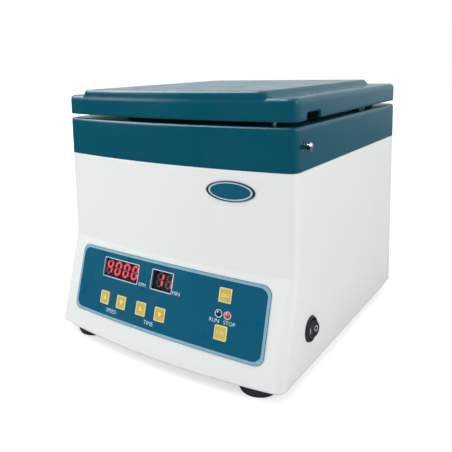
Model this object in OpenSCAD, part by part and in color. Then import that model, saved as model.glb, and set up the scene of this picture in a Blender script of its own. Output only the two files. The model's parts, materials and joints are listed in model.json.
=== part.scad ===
// Bench centrifuge with a hinged lid: case, drive, fixed-angle rotor, lid, latch and control panel.
// The origin is on the table under the middle of the case, the front faces -Y and +Z is up.

/* [Case] */
// Width of the case
body_w = 256; // [248:1:272]
// Depth of the case at its top, without the bow of the front
body_d = 270; // [264:1:286]
// How far the middle of the front bows forward
bow = 12; // [8:1:16]
// Rounding of the upright corners
corner_r = 9; // [7:0.5:11]
// Thickness of the moulded walls
wall = 3; // [2.5:0.5:3.5]
// Height of the white case
case_h = 174; // [172:1:184]
// Height of the crease above the foot of the case
crease_h = 87; // [84:1:92]
// How far the foot of the front stands forward
toe = 26; // [20:1:30]
// Thickness of the steel base plate
base_t = 2; // [1.5:0.5:3]

/* [Feet] */
// Height of the rubber feet
foot_h = 12; // [8:1:16]
// Radius of a foot at its top
foot_r = 18.5; // [14:0.5:20]
// Distance of the feet from the sides of the case
foot_in = 31; // [26:1:40]
// Distance of the front feet behind the foot of the front's corners
foot_toe = 19; // [17:1:26]
// Distance of the rear feet from the rear of the case
foot_back = 25; // [20:1:40]

/* [Collar and lid] */
// Height of the collar round the chamber mouth
collar_h = 37; // [34:1:42]
// Thickness of the deck
deck_t = 4; // [3:0.5:5]
// Rounding of the collar's top edge
collar_edge_r = 2.5; // [1.5:0.5:3]
// Gap between the collar and the closed lid
lid_gap = 4; // [3.5:0.5:6]
// Height of the lid without its crown
lid_h = 19; // [17:1:25]
// Rounding of the lid's top edge
lid_edge_r = 4; // [2:0.5:5]
// Height of the raised crown on the lid
crown_h = 5.5; // [3:0.5:7]
// Half the width of the crown at its foot
crown_half = 105; // [96:1:112]
// Distance of the crown from the rear of the lid
crown_back = 20; // [14:1:30]
// Slope width of the crown's flanks
crown_slope = 4; // [2:0.5:6]
// Length of the finger notch in the lid's right skirt
notch_len = 29; // [20:1:34]
// Depth of the finger notch
notch_h = 6.4; // [5:0.1:7]
// Distance of the middle of the finger notch from the front's corners
notch_back = 34; // [31:1:50]
// How far the lid's inner panel sits above the lid's lower edge
liner_rise = 1.5; // [1:0.5:3]
// Thickness of the lid's inner panel
liner_t = 3; // [2:0.5:4]

/* [Hinges] */
// Distance of the middle of a hinge from the side of the case
hinge_in = 48; // [34:1:60]
// Length of a hinge
hinge_len = 40; // [32:1:48]
// Radius of the hinge knuckles
knuckle_r = 3.4; // [3:0.1:3.6]
// Radius of the hinge pins
pin_r = 2; // [1.5:0.1:2.2]
// Thickness of the hinge leaves
leaf_t = 1.5; // [1:0.5:2]
// Height of each hinge leaf
leaf_h = 13; // [11:1:15]

/* [Latch] */
// Distance of the latch rod from the front's corners
latch_back = 13; // [12:1:16]
// Depth of the latch rod below the deck's upper face
latch_drop = 16; // [14:0.5:18]
// Radius of the latch rod
rod_r = 2.5; // [2.2:0.1:3.2]
// Travel of the latch rod
latch_travel = 3; // [2:0.5:4]
// Radius of the knob's head
knob_r = 3.7; // [3.5:0.1:5]
// Length of the knob's head
knob_len = 3.5; // [3.5:0.5:6]
// Distance of the lid's striker from the side of the case
striker_in = 26; // [24:1:30]
// Thickness of the striker plate
striker_t = 2; // [1.5:0.5:2.5]

/* [Chamber] */
// Inner radius of the steel bowl
bowl_r = 108; // [106:1:110]
// Depth of the bowl
bowl_depth = 108; // [106:1:114]
// Thickness of the bowl's steel
bowl_t = 1.2; // [0.8:0.1:1.5]
// Fillet between the bowl's wall and its floor
bowl_fillet = 14; // [8:1:18]
// Place of the rotor's axis along the case
axis_y = -6; // [-10:1:-2]

/* [Motor] */
// Radius of the motor can
can_r = 45; // [40:1:50]
// Gap between the motor and the base plate
motor_clear = 10.8; // [6:0.2:16]
// Wall of the motor can
can_t = 3; // [2:0.5:4]
// Thickness of the magnets
magnet_t = 9; // [6:0.5:10]
// Distance of the support pillars from the rotor's axis, along each side
pillar_reach = 60; // [56:1:66]
// Radius of the support pillars
pillar_r = 6; // [5:0.5:8]
// Height of the rubber dampers
damper_h = 12; // [9:1:15]
// Radius of the rubber dampers
damper_r = 11; // [9:0.5:12]
// Radius of the shaft in the upper bearing
shaft_r = 6; // [5:0.5:7]

/* [Rotor] */
// Lean of the tubes from the upright
tube_lean = 35; // [32:0.5:36]
// Distance of the tube mouths from the rotor's axis
mouth_r = 40; // [38:0.5:42]
// Height of the tube mouths below the deck's upper face
mouth_drop = 20; // [18:0.5:23]
// Inner radius of the tube sleeves
sleeve_r = 12.5; // [10:0.1:12.8]
// Wall of the tube sleeves
sleeve_t = 1.2; // [0.8:0.1:1.3]
// Inner length of the tube sleeves
sleeve_len = 92; // [80:1:94]
// Thickness of the rotor's dish
dish_t = 6; // [5:0.5:8]
// Width of the dish outside the tube mouths
dish_rim = 19; // [18:0.5:21]

/* [Control panel] */
// Width of the panel overlay
panel_w = 217; // [205:1:222]
// How far the overlay sits right of the middle plane
panel_x = 1.5; // [-3:0.5:3]
// Height of the panel overlay along the slope
panel_h = 65.4; // [62:0.2:70]
// Rounding of the overlay's corners
panel_r = 8; // [4:0.5:10]
// Thickness of the overlay
panel_t = 0.6; // [0.4:0.1:1]
// Height of the panel's middle above the foot of the case
panel_mid = 50.8; // [48:0.2:52]
// Width of the speed window
speed_w = 45.7; // [40:0.1:47]
// Width of the time window
time_w = 23.5; // [20:0.1:26]
// Height of both windows
window_h = 17.4; // [15:0.1:18]
// Width of a key
key_w = 11.8; // [10:0.1:13]
// Height of a key
key_h = 12.4; // [10:0.1:14]
// How far a key stands out of the overlay
key_proud = 0.5; // [0.4:0.1:1.2]
// Travel of a key
key_travel = 0.3; // [0.2:0.05:0.35]
// Radius of the status lamps
lamp_r = 2.5; // [1.5:0.1:2.8]
// Depth of the circuit board behind the middle of the panel
board_depth = 16; // [15:0.5:19]

/* [Power] */
// Place of the rocker switch along the right side
switch_y = -106; // [-110:1:-95]
// Height of the rocker switch above the foot of the case
switch_z = 34; // [30:1:45]
// Radius of the switch bezel
bezel_r = 11.7; // [11.2:0.1:13]
// Tilt of the rocker from its middle position
rocker_tilt = 12; // [8:1:13]
// Distance of the mains inlet from the side of the case
inlet_in = 58; // [50:1:70]
// Height of the mains inlet above the foot of the case
inlet_z = 40; // [32:1:60]
// Radius of the fuse holder's body
fuse_r = 6; // [5.5:0.1:7]
// Width of the transformer
supply_w = 68; // [60:1:76]
// Depth of the transformer
supply_d = 48; // [40:1:50]
// Height of the transformer
supply_h = 37; // [30:1:44]

/* [Hidden] */
fine = 96;
round_fn = 48;
eps = 0.01;
slip = 0.3;
fit = 0.03;
base_z = foot_h;
crease_z = base_z + crease_h;
case_top = base_z + case_h;
deck_z = case_top + collar_h;
lid_z = deck_z + lid_gap;
shoulder_z = lid_z + lid_h;
crown_z = shoulder_z + crown_h;
front_y = -body_d / 2;
rear_y = body_d / 2;
slant = atan(toe / crease_h);
foot_x = body_w / 2 - foot_in;
foot_front_y = front_y - toe + foot_toe;
foot_rear_y = rear_y - foot_back;
bow_r = (bow * bow + body_w * body_w / 4) / (2 * bow);
bow_y = bow_r + front_y - bow;
corner_x = body_w / 2 - corner_r;
front_corner_y = bow_y - sqrt(pow(bow_r - corner_r, 2) - corner_x * corner_x);
rear_corner_y = rear_y - corner_r;
corner_turn = asin(corner_x / (bow_r - corner_r));
plate_top = base_z + base_t;
boss_r = 5;
boss_h = 26;
lip_h = 6;
lip_t = 2;
flange_w = 5.5;
flange_reach = bowl_r + bowl_t + flange_w;
mouth_hole_r = bowl_r + bowl_t + slip;
bowl_floor = deck_z - bowl_depth;
liner_z = lid_z + liner_rise;
liner_top = liner_z + liner_t;
lid_roof = 3;
seal_in = flange_reach + 2;
seal_out = seal_in + 4.5;
pad_w = 5.6;
pad_len = 18;
pad_x = body_w / 2 - wall - 0.8 - pad_w / 2;
pad_y = axis_y + pad_len / 2 + sqrt(max(0, pow(seal_out + 0.5, 2) - pow(pad_x - pad_w / 2, 2)));
notch_y = front_y + notch_back;
latch_y = front_y + latch_back;
striker_x = body_w / 2 - striker_in;
hinge_x = body_w / 2 - hinge_in;
hinge_y = rear_y + knuckle_r + 0.4;
hinge_z = deck_z + lid_gap / 2;
knuckle_len = (hinge_len - 1.2) / 3;
rod_z = deck_z - latch_drop;
guide_half = 6;
guide_in = striker_x + striker_t / 2 + 2;
rod_tip = striker_x + striker_t / 2 + 0.5;
head_x = body_w / 2 + latch_travel + 0.6;
slot_gap = 1.5;
striker_w = 14;
striker_neck = 5;
drive_gap = 9;
mount_t = 3;
mount_z = bowl_floor - bowl_t - drive_gap - mount_t;
mount_r = pillar_reach * sqrt(2) + damper_r + 3;
flange_t = 6;
can_top = mount_z - flange_t;
cap_t = 8;
cap_boss = 5;
can_bottom = plate_top + motor_clear + cap_boss + cap_t;
can_len = can_top - can_bottom;
armature_r = can_r - can_t - magnet_t - 1;
tail_r = 4;
bearing_wall = 10;
seat_r = shaft_r + bearing_wall;
tail_seat_r = tail_r + 7;
neck_z = can_bottom - 2;
lean_in = [sin(tube_lean), cos(tube_lean)];
mouth_z = deck_z - mouth_drop;
sleeve_out = sleeve_r + sleeve_t;
sleeve_rim = sleeve_out + 1.8;
places = 6;
hub_r = 15;
hub_low = bowl_floor + 8;
dish_low = hub_r - 1;
front_slope_y = front_y - bow - (crease_z - base_z - panel_mid) * tan(slant);
panel_bow_r = bow_r / cos(slant);
speed_x = -48.1;
time_x = 3.8;
window_v = 15.7;
key_row_v = -13.7;
lamp_v = 1.2;
key_spots = [[-63.6, key_row_v], [-41, key_row_v], [-15.6, key_row_v], [6.9, key_row_v],
             [70, 17.3], [70, -14.1]];
lamp_spots = [[65.9, lamp_v], [74.2, lamp_v]];
module_w = 50.3;
module_w2 = 25.1;
module_h = 19;
window_t = 1.6;
module_front = sag(speed_x) + speed_w / 2 * tan(turn(-speed_x)) + window_t + 0.4;
board_w = panel_w - 27;
board_h = panel_h - 9.4;
board_t = 1.6;
post_x = board_w / 2 - 9;
post_v = board_h / 2 - 6;
tact_h = 5;
stem_r = 1.5;
stem_slack = 0.2;
rocker_half = 8;
rocker_pocket = 9.3;
bezel_t = 1.8;
pivot_x = body_w / 2 + bezel_t - 2.4;
inlet_x = inlet_in - body_w / 2;
inlet_w = 27;
inlet_h = 20;
fuse_x = inlet_x + 40;
fuse_len = 27;

// Points of an arc about c, from angle a0 to a1
function arc_points(c, r, a0, a1, n) =
    [for (i = [0:n]) c + r * [cos(a0 + (a1 - a0) * i / n), sin(a0 + (a1 - a0) * i / n)]];

// How far the front stands forward at height z, g inside the outer face
function reach(g, z) = max(0, (crease_z - z) * tan(slant) - g * (1 / cos(slant) - 1));

// Outline of the case at height z, g inside the outer face
function outline(g, z) = let(
    ahead = [0, -reach(g, z)],
    r = corner_r - g,
    front = arc_points([0, bow_y] + ahead, bow_r - g, -90 - corner_turn, -90 + corner_turn, 16),
    front_right = arc_points([corner_x, front_corner_y] + ahead, r, -90 + corner_turn, 0, 6),
    rear_right = arc_points([corner_x, rear_corner_y], r, 0, 90, 6),
    rear_left = arc_points([-corner_x, rear_corner_y], r, 90, 180, 6),
    front_left = arc_points([-corner_x, front_corner_y] + ahead, r, 180, 270 - corner_turn, 6))
    concat([for (i = [1:15]) front[i]], front_right, rear_right, rear_left, front_left);

// Skin over outlines of equal point counts, from the lowest to the highest
module loft(rings) {
    n = len(rings[0]);
    top = len(rings) - 1;
    polyhedron(
        points = [for (ring = rings) each ring],
        faces = concat([[for (i = [0:n - 1]) i]], [[for (i = [n - 1:-1:0]) top * n + i]],
            [for (k = [0:top - 1]) for (i = [0:n - 1]) let(j = (i + 1) % n)
                [k * n + i, (k + 1) * n + i, (k + 1) * n + j, k * n + j]]),
        convexity = 4);
}

function level(g, z) = [for (p = outline(g, z)) [p[0], p[1], z]];

// Form of the white case between two heights, g inside its outer face
module case_form(g, z0, z1) {
    crease = crease_z - g * tan(slant / 2);
    loft([level(g, z0), level(g, crease), level(g, z1)]);
}

// What a rounded corner takes off a square one; dir points from the corner's centre to the tangent
module corner_waste(c, dir, r) {
    difference() {
        polygon([c, c + [r + 5, 0], c + [r + 5, 4 * r * dir[1]], c + 4 * r * dir]);
        translate(c) circle(r, $fn = round_fn);
    }
}

// Outline of the collar and the lid from above, g inside the outer face
module plan(g) {
    r = corner_r - g;
    tangent = [sin(corner_turn), -cos(corner_turn)];
    difference() {
        intersection() {
            translate([0, bow_y]) circle(bow_r - g, $fn = 180);
            translate([-body_w / 2 + g, -body_d]) square([body_w - 2 * g, body_d + rear_y - g]);
        }
        for (side = [0, 1]) mirror([side, 0]) {
            corner_waste([corner_x, front_corner_y], tangent, r);
            corner_waste([corner_x, rear_corner_y], [0, 1], r);
        }
    }
}

// Block on the outline of the upper case with a rounded top edge
module rounded_block(z0, z1, r) {
    loft(concat([level(0.6, z0), level(0, z0 + 0.8)],
        [for (a = [0:22.5:90]) level(r - r * cos(a), z1 - r + r * sin(a))]));
}

// Rectangle with round corners, about the origin
module round_rect(w, h, r) {
    square([w - 2 * r, h], center = true);
    square([w, h - 2 * r], center = true);
    for (x = [-1, 1], y = [-1, 1])
        translate([x * (w / 2 - r), y * (h / 2 - r)]) circle(r, $fn = round_fn);
}

// Ring about Z
module ring(r_out, r_in, h) {
    difference() {
        cylinder(r = r_out, h = h, $fn = fine);
        translate([0, 0, -1]) cylinder(r = r_in, h = h + 2, $fn = fine);
    }
}

// Frame of the sloping front: X right, Y up the slope, Z outward, at the panel's middle
module panel_frame() {
    translate([0, front_slope_y, base_z + panel_mid]) rotate([90 - slant, 0, 0]) children();
}

function sag(x) = (bow_r - sqrt(bow_r * bow_r - x * x)) * cos(slant);
function turn(x) = atan(cos(slant) * x / sqrt(bow_r * bow_r - x * x));

// Puts children on the bowed face at x across and v up the slope, Z along the face's normal
module on_panel(x, v) {
    panel_frame() translate([x, v, -sag(x)]) rotate([0, turn(x), 0]) children();
}

// The white moulded case
module housing() {
    color("#e8ebe8") difference() {
        union() {
            difference() {
                case_form(0, base_z, case_top);
                case_form(wall, base_z - 1, case_top + 1);
            }
            for (x = [-1, 1], y = [front_y + 10, rear_y - 17])
                translate([x * (body_w / 2 - wall - 4), y, plate_top])
                    cylinder(r = boss_r, h = boss_h, $fn = round_fn);
            for (x = [-post_x, post_x], v = [-post_v, post_v]) panel_frame()
                translate([x, v, -board_depth])
                    cylinder(r = 3.5, h = board_depth - sag(x) - wall + 1, $fn = 32);
        }
        on_panel(speed_x, window_v) window_cut(speed_w);
        on_panel(time_x, window_v) window_cut(time_w);
        display(speed_x, module_w, slip);
        display(time_x, module_w2, slip);
        for (k = key_spots) on_panel(k[0], k[1])
            cube([key_w + 2 * slip, key_h + 2 * slip, 4 * wall], center = true);
        for (l = lamp_spots) on_panel(l[0], l[1])
            cylinder(r = lamp_r + slip, h = 4 * wall, center = true, $fn = 32);
        switch_place() cylinder(r = bezel_r - 1.5, h = 6 * wall, center = true, $fn = fine);
        translate([inlet_x, rear_y, base_z + inlet_z])
            cube([inlet_w + 0.4, 6 * wall, inlet_h + 0.4], center = true);
        fuse_place() cylinder(r = fuse_r + 0.2, h = 6 * wall, center = true, $fn = round_fn);
        for (i = [0:9]) translate([10 + 8 * i, rear_y, base_z + 60]) cube([3, 4 * wall, 50], center = true);
    }
}

module window_cut(w) {
    cube([w + 0.2, window_h + 0.2, 4 * wall], center = true);
}

module base_plate() {
    color("#8a9094") difference() {
        translate([0, 0, base_z]) linear_extrude(base_t) polygon(outline(wall + 0.4, plate_top));
        for (x = [-1, 1], y = [foot_front_y, foot_rear_y])
            translate([x * foot_x, y, base_z - 1]) cylinder(r = 2.2, h = base_t + 2, $fn = 32);
        for (x = [-30:12:30], y = [-100, 75])
            translate([x, y, base_z]) cube([4, 30, 4 * base_t], center = true);
    }
}

// Four rubber feet with a screw pocket in the sole
module rubber_feet() {
    color("#2b3036") for (x = [-1, 1], y = [foot_front_y, foot_rear_y])
        translate([x * foot_x, y, 0]) difference() {
            union() {
                cylinder(r1 = foot_r - 2.5, r2 = foot_r - 1.5, h = 2, $fn = fine);
                translate([0, 0, 2]) cylinder(r1 = foot_r - 1.5, r2 = foot_r, h = foot_h - 2, $fn = fine);
            }
            translate([0, 0, -1]) cylinder(r = 4.5, h = foot_h / 2 + 1, $fn = round_fn);
            cylinder(r = 2.2, h = foot_h + 1, $fn = 32);
        }
}

// Collar with the deck, the chamber mouth, the striker slot and the latch hole
module collar() {
    color("#0a5a70") difference() {
        union() {
            rounded_block(case_top, deck_z, collar_edge_r);
            translate([0, 0, case_top - lip_h]) linear_extrude(lip_h + 1) plan(wall + slip);
        }
        translate([0, 0, case_top - lip_h - 1]) linear_extrude(2 * lip_h + 1) plan(wall + slip + lip_t);
        translate([0, 0, case_top + lip_h - eps]) linear_extrude(collar_h - deck_t - lip_h + eps) plan(wall);
        translate([0, axis_y, case_top]) cylinder(r = mouth_hole_r, h = collar_h + 1, $fn = fine);
        translate([striker_x, latch_y, deck_z])
            cube([striker_t + 2 * slot_gap, striker_w + 4, 4 * deck_t], center = true);
        translate([body_w / 2 - 2 * wall, latch_y, rod_z]) rotate([0, 90, 0])
            cylinder(r = rod_r + slip, h = 3 * wall, $fn = 32);
    }
}

// Profile of a round pan with a filleted floor, as a half section
module pan_profile(r, h, fillet) {
    square([r - fillet, h]);
    translate([0, fillet]) square([r, h - fillet]);
    translate([r - fillet, fillet]) circle(fillet, $fn = fine);
}

module chamber_bowl() {
    color("#c4c8cc") translate([0, axis_y, bowl_floor]) rotate_extrude($fn = fine) difference() {
        union() {
            translate([0, -bowl_t])
                pan_profile(bowl_r + bowl_t, bowl_depth + 2 * bowl_t, bowl_fillet + bowl_t);
            translate([0, bowl_depth]) square([flange_reach, bowl_t]);
            translate([0, -bowl_t]) square([seat_r + 6, bowl_t + 5]);
        }
        difference() {
            pan_profile(bowl_r, bowl_depth + 2 * bowl_t, bowl_fillet);
            square([seat_r + 6, 5]);
        }
        translate([0, -2 * bowl_t]) square([seat_r + 4.8, bowl_t + 12]);
        translate([-bowl_r, -bowl_t - 1]) square([bowl_r, bowl_depth]);
    }
}

module support_pillars() {
    color("#b0b4b8") at_pillars() translate([0, 0, plate_top]) {
        cylinder(r = pillar_r + 4, h = 3, $fn = round_fn);
        cylinder(r = pillar_r, h = mount_z - damper_h - plate_top, $fn = round_fn);
    }
}

module at_pillars() {
    for (x = [-1, 1], y = [-1, 1]) translate([x * pillar_reach, axis_y + y * pillar_reach, 0]) children();
}

module rubber_dampers() {
    color("#2b3036") at_pillars() translate([0, 0, mount_z - damper_h])
        rotate_extrude($fn = round_fn) difference() {
            square([damper_r, damper_h]);
            translate([damper_r + damper_h / 3, damper_h / 2]) circle(damper_h / 2, $fn = round_fn);
        }
}

module mount_plate() {
    color("#9aa0a4") translate([0, axis_y, mount_z]) difference() {
        intersection() {
            cylinder(r = mount_r, h = mount_t, $fn = fine);
            translate([0, 0, mount_t / 2])
                cube([2 * pillar_reach + 34, 2 * pillar_reach + 34, 2 * mount_t], center = true);
        }
        translate([0, 0, -1]) cylinder(r = seat_r + 4.3, h = mount_t + 2, $fn = fine);
        for (a = [45:90:360]) rotate(a + 45) translate([can_r - 7, 0, -1])
            cylinder(r = 2.2, h = mount_t + 2, $fn = 32);
    }
}

module motor_can() {
    color("#3c4248") translate([0, axis_y, can_bottom]) difference() {
        cylinder(r = can_r, h = can_len, $fn = fine);
        translate([0, 0, -1]) cylinder(r = can_r - can_t, h = can_len + 2, $fn = fine);
        for (a = [0:45:315]) rotate(a) translate([can_r, 0, 12]) cube([4 * can_t, 6, 10], center = true);
    }
}

module motor_end_cap() {
    color("#9aa0a4") translate([0, axis_y, can_bottom - cap_t]) difference() {
        union() {
            cylinder(r = can_r - 1, h = cap_t, $fn = fine);
            translate([0, 0, -cap_boss]) cylinder(r = tail_seat_r + 4, h = cap_boss + 1, $fn = fine);
            for (side = [-1, 1]) translate([side * (can_r - 8), 0, cap_t / 2]) rotate([0, 90, 0])
                cylinder(r = 3.5, h = 26, center = true, $fn = 32);
        }
        translate([0, 0, -2.5]) cylinder(r = tail_seat_r + fit, h = 20, $fn = fine);
        translate([0, 0, -10]) cylinder(r = tail_r + 1.5, h = 20, $fn = round_fn);
    }
}

module motor_flange() {
    color("#9aa0a4") translate([0, axis_y, can_top]) difference() {
        union() {
            cylinder(r = can_r + 1, h = flange_t, $fn = fine);
            cylinder(r = seat_r + 4, h = flange_t + mount_t + 3, $fn = fine);
        }
        translate([0, 0, 3]) cylinder(r = seat_r + fit, h = 20, $fn = fine);
        translate([0, 0, -1]) cylinder(r = shaft_r + 2, h = 20, $fn = round_fn);
    }
}

module motor_magnets() {
    color("#4a4c50") for (side = [0, 180]) translate([0, axis_y, can_bottom + 18]) rotate(side) difference() {
        ring(can_r - can_t - 0.1, can_r - can_t - magnet_t, can_len - 24);
        for (m = [0, 1]) mirror([0, m, 0]) rotate(60) translate([-2 * can_r, 0, -1])
            cube([4 * can_r, 2 * can_r, can_len]);
        translate([-2 * can_r, -can_r, -1]) cube([2 * can_r, 2 * can_r, can_len]);
    }
}

module motor_armature() {
    color("#9c6b3a") translate([0, axis_y, can_bottom + 14]) difference() {
        union() {
            translate([0, 0, 6]) cylinder(r = armature_r, h = can_len - 28, $fn = fine);
            translate([0, 0, 1]) cylinder(r = armature_r - 4, h = can_len - 18, $fn = fine);
            translate([0, 0, -8]) cylinder(r = 12, h = 10, $fn = round_fn);
        }
        for (a = [0:30:330]) rotate(a) translate([armature_r, 0, 5]) cube([8, 3, can_len * 2], center = true);
        translate([0, 0, -10]) cylinder(r = shaft_r + fit, h = can_len + 20, $fn = round_fn);
    }
}

module upper_bearing() {
    color("#c4c8cc") translate([0, axis_y, can_top + 3]) bearing(seat_r, shaft_r + fit, 8);
}

module lower_bearing() {
    color("#c4c8cc") translate([0, axis_y, can_bottom - cap_t - 2.5]) bearing(tail_seat_r, tail_r + fit, 7);
}

// Ball bearing with a shield groove on each side
module bearing(r_out, r_in, h) {
    middle = (r_out + r_in) / 2;
    difference() {
        ring(r_out, r_in, h);
        for (z = [-1, h - 0.6]) translate([0, 0, z]) ring(middle + 2, middle - 2, 1.6);
    }
}

module motor_shaft() {
    taper = mouth_z - 30;
    color("#c4c8cc") translate([0, axis_y, 0]) {
        translate([0, 0, can_bottom - cap_t - 3.5]) cylinder(r = tail_r, h = cap_t + 1.5, $fn = round_fn);
        translate([0, 0, neck_z]) cylinder(r = shaft_r, h = hub_low + 6 - neck_z, $fn = round_fn);
        translate([0, 0, hub_low + 6])
            cylinder(r1 = shaft_r, r2 = shaft_r - 2, h = taper - hub_low - 6, $fn = round_fn);
        translate([0, 0, taper]) cylinder(r = shaft_r - 2, h = 16, $fn = round_fn);
    }
}

// Height of the dish's upper face at radius r: square to the tubes
function dish_z(r) = mouth_z + (r - mouth_r) * tan(tube_lean);

// Dished rotor head with a hub, a stiffening skirt and the seats of the sleeves
module rotor_head() {
    rim = mouth_r + dish_rim * cos(tube_lean);
    drop = dish_t / cos(tube_lean);
    taper = mouth_z - 30;
    color("#7f868c") translate([0, axis_y, 0]) difference() {
        rotate_extrude($fn = fine) polygon([
            [0, hub_low], [hub_r, hub_low], [hub_r, dish_z(hub_r) - drop],
            [rim - dish_t * sin(tube_lean), dish_z(rim) - dish_t * cos(tube_lean) - 2],
            [rim, dish_z(rim) - 2], [rim, dish_z(rim)],
            [dish_low, dish_z(dish_low)], [0, dish_z(dish_low)]]);
        at_places() cylinder(r = sleeve_out + 0.1, h = 40, center = true, $fn = fine);
        at_places() cylinder(r = sleeve_rim + 0.4, h = 20, $fn = fine);
        translate([0, 0, hub_low - 1]) cylinder(r = shaft_r + fit, h = 7, $fn = round_fn);
        translate([0, 0, hub_low + 6])
            cylinder(r1 = shaft_r + fit, r2 = shaft_r - 2 + fit, h = taper - hub_low - 6, $fn = round_fn);
        translate([0, 0, taper]) cylinder(r = shaft_r - 2 + fit, h = 40, $fn = round_fn);
        translate([0, 0, taper + 6]) cylinder(r = 11, h = 60, $fn = round_fn);
    }
}

// Puts children at each tube mouth, Z along the tube towards the mouth
module at_places() {
    for (i = [0:places - 1]) at_place(i) children();
}

module at_place(i) {
    rotate(i * 360 / places + 30) translate([mouth_r, 0, mouth_z]) rotate([0, -tube_lean, 0]) children();
}

// Steel sleeve with a rolled rim, a round end and a rubber cushion seat
module tube_sleeve(i) {
    color("#b8bdc2") translate([0, axis_y, 0]) at_place(i) rotate_extrude($fn = fine) difference() {
        union() {
            translate([0, -sleeve_len]) pan_profile(sleeve_out, sleeve_len + 1.5, sleeve_out - 1);
            square([sleeve_rim, 1.5]);
        }
        translate([0, -sleeve_len + sleeve_t]) pan_profile(sleeve_r, sleeve_len + 10, sleeve_r - 1);
        translate([-sleeve_rim, -sleeve_len - 1]) square([sleeve_rim, sleeve_len + 20]);
    }
}

module rotor_nut() {
    nut_z = mouth_z - 24;
    color("#2b3036") translate([0, axis_y, nut_z + eps]) difference() {
        union() {
            cylinder(r = 10, h = 6, $fn = 6);
            translate([0, 0, 6]) cylinder(r = 8.6, h = 12, $fn = round_fn);
            translate([0, 0, 18]) cylinder(r1 = 8.6, r2 = 6, h = 2.5, $fn = round_fn);
        }
        translate([0, 0, -1]) cylinder(r = shaft_r - 2 + fit, h = 13, $fn = round_fn);
    }
}

// Outline of the crown, g inside its foot at the flanks and inset from the lid's front
module crown_plan(g, inset) {
    offset(r = 7) offset(delta = -7) intersection() {
        plan(inset);
        translate([-crown_half + g, -body_d])
            square([2 * (crown_half - g), body_d + rear_y - crown_back - g]);
    }
}

// Lid: a rounded shell with a raised crown, screw bosses and the finger notch
module lid_shell() {
    color("#0a5a70") difference() {
        union() {
            difference() {
                rounded_block(lid_z, shoulder_z, lid_edge_r);
                translate([0, 0, lid_z - 1]) linear_extrude(lid_h - lid_roof + 1) plan(wall);
            }
            hull() {
                translate([0, 0, shoulder_z - lid_edge_r - 1]) linear_extrude(lid_edge_r + 1)
                    crown_plan(0, 0.7, $fn = 32);
                translate([0, 0, crown_z - 1.2]) linear_extrude(eps) crown_plan(crown_slope - 1, 1, $fn = 32);
                translate([0, 0, crown_z - eps]) linear_extrude(eps) crown_plan(crown_slope, 2.1, $fn = 32);
            }
            for (x = [-1, 1], y = [front_y + 18, rear_y - 18])
                translate([x * (body_w / 2 - 19.5), y, liner_top])
                    cylinder(r = boss_r, h = shoulder_z - liner_top - 1, $fn = 32);
        }
        translate([body_w / 2 - wall, notch_y, lid_z]) rotate([90, 0, 90])
            translate([0, 0, -3]) linear_extrude(3 * wall) round_rect(notch_len, 2 * notch_h, 3);
    }
}

module lid_liner() {
    color("#23262a") difference() {
        translate([0, 0, liner_z]) linear_extrude(liner_t) plan(wall + 0.4);
        translate([body_w / 2 - wall - 6, notch_y, liner_z])
            cube([14, notch_len + 4, 4 * liner_t], center = true);
    }
}

module lid_seal() {
    color("#23262a") translate([0, axis_y, deck_z + slip]) rotate_extrude($fn = fine)
        translate([seal_in, 0]) {
            translate([0, 2]) square([seal_out - seal_in, liner_z - deck_z - slip - 2]);
            translate([2.25, 2]) circle(2, $fn = round_fn);
        }
}

module lid_pads() {
    color("#2b3036") for (x = [-1, 1]) translate([x * pad_x, pad_y, (liner_z + deck_z + slip) / 2])
        cube([pad_w, pad_len, liner_z - deck_z - slip], center = true);
}

// Striker: a plate with a round eye for the latch rod, hung by a narrow neck from a foot on the inner panel
module lid_striker() {
    low = rod_z - rod_r - 4;
    color("#c4c8cc") translate([striker_x, latch_y, 0]) difference() {
        union() {
            translate([-striker_t / 2, -striker_w / 2, low + 4])
                cube([striker_t, striker_w, deck_z - low - 5]);
            translate([-striker_t / 2, -striker_neck / 2, deck_z - 2])
                cube([striker_t, striker_neck, liner_z - deck_z + 2]);
            translate([-striker_t / 2, -striker_w / 2 + 4, low]) cube([striker_t, striker_w - 8, 5]);
            translate([-striker_t / 2 - 8, -striker_w / 2, liner_z - 1.5])
                cube([striker_t + 8, striker_w, 1.5]);
        }
        translate([0, 0, rod_z]) rotate([0, 90, 0])
            cylinder(r = rod_r + 0.8, h = 40, center = true, $fn = round_fn);
    }
}

module at_hinges() {
    for (side = [-1, 1]) translate([side * hinge_x, hinge_y, hinge_z]) children();
}

module knuckle(x0, x1, r) {
    translate([x0, 0, 0]) rotate([0, 90, 0]) cylinder(r = r, h = x1 - x0, $fn = round_fn);
}

module hinge_fixed_leaves() {
    clear = knuckle_r + 0.4;
    color("#b0b4b8") at_hinges() difference() {
        union() {
            translate([-hinge_len / 2, -clear, -leaf_h - clear]) cube([hinge_len, leaf_t, leaf_h]);
            for (m = [0, 1]) mirror([m, 0, 0]) {
                knuckle(knuckle_len / 2 + 0.6, hinge_len / 2, knuckle_r);
                translate([knuckle_len / 2 + 0.6, -clear, -clear - 1]) cube([knuckle_len, leaf_t, clear + 1]);
            }
        }
        knuckle(-hinge_len, hinge_len, pin_r + 0.02);
    }
}

module hinge_moving_leaves() {
    clear = knuckle_r + 0.4;
    color("#b0b4b8") at_hinges() difference() {
        union() {
            translate([-hinge_len / 2, -clear, clear]) cube([hinge_len, leaf_t, leaf_h]);
            knuckle(-knuckle_len / 2, knuckle_len / 2, knuckle_r);
            translate([-knuckle_len / 2, -clear, 0]) cube([knuckle_len, leaf_t, clear + 1]);
        }
        knuckle(-hinge_len, hinge_len, pin_r + 0.06);
    }
}

module hinge_pins() {
    color("#c4c8cc") at_hinges() {
        knuckle(-hinge_len / 2 - 0.2, hinge_len / 2 + 0.2, pin_r);
        for (m = [0, 1]) mirror([m, 0, 0]) knuckle(hinge_len / 2 + 0.1, hinge_len / 2 + 1.2, pin_r + 0.8);
    }
}

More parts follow.
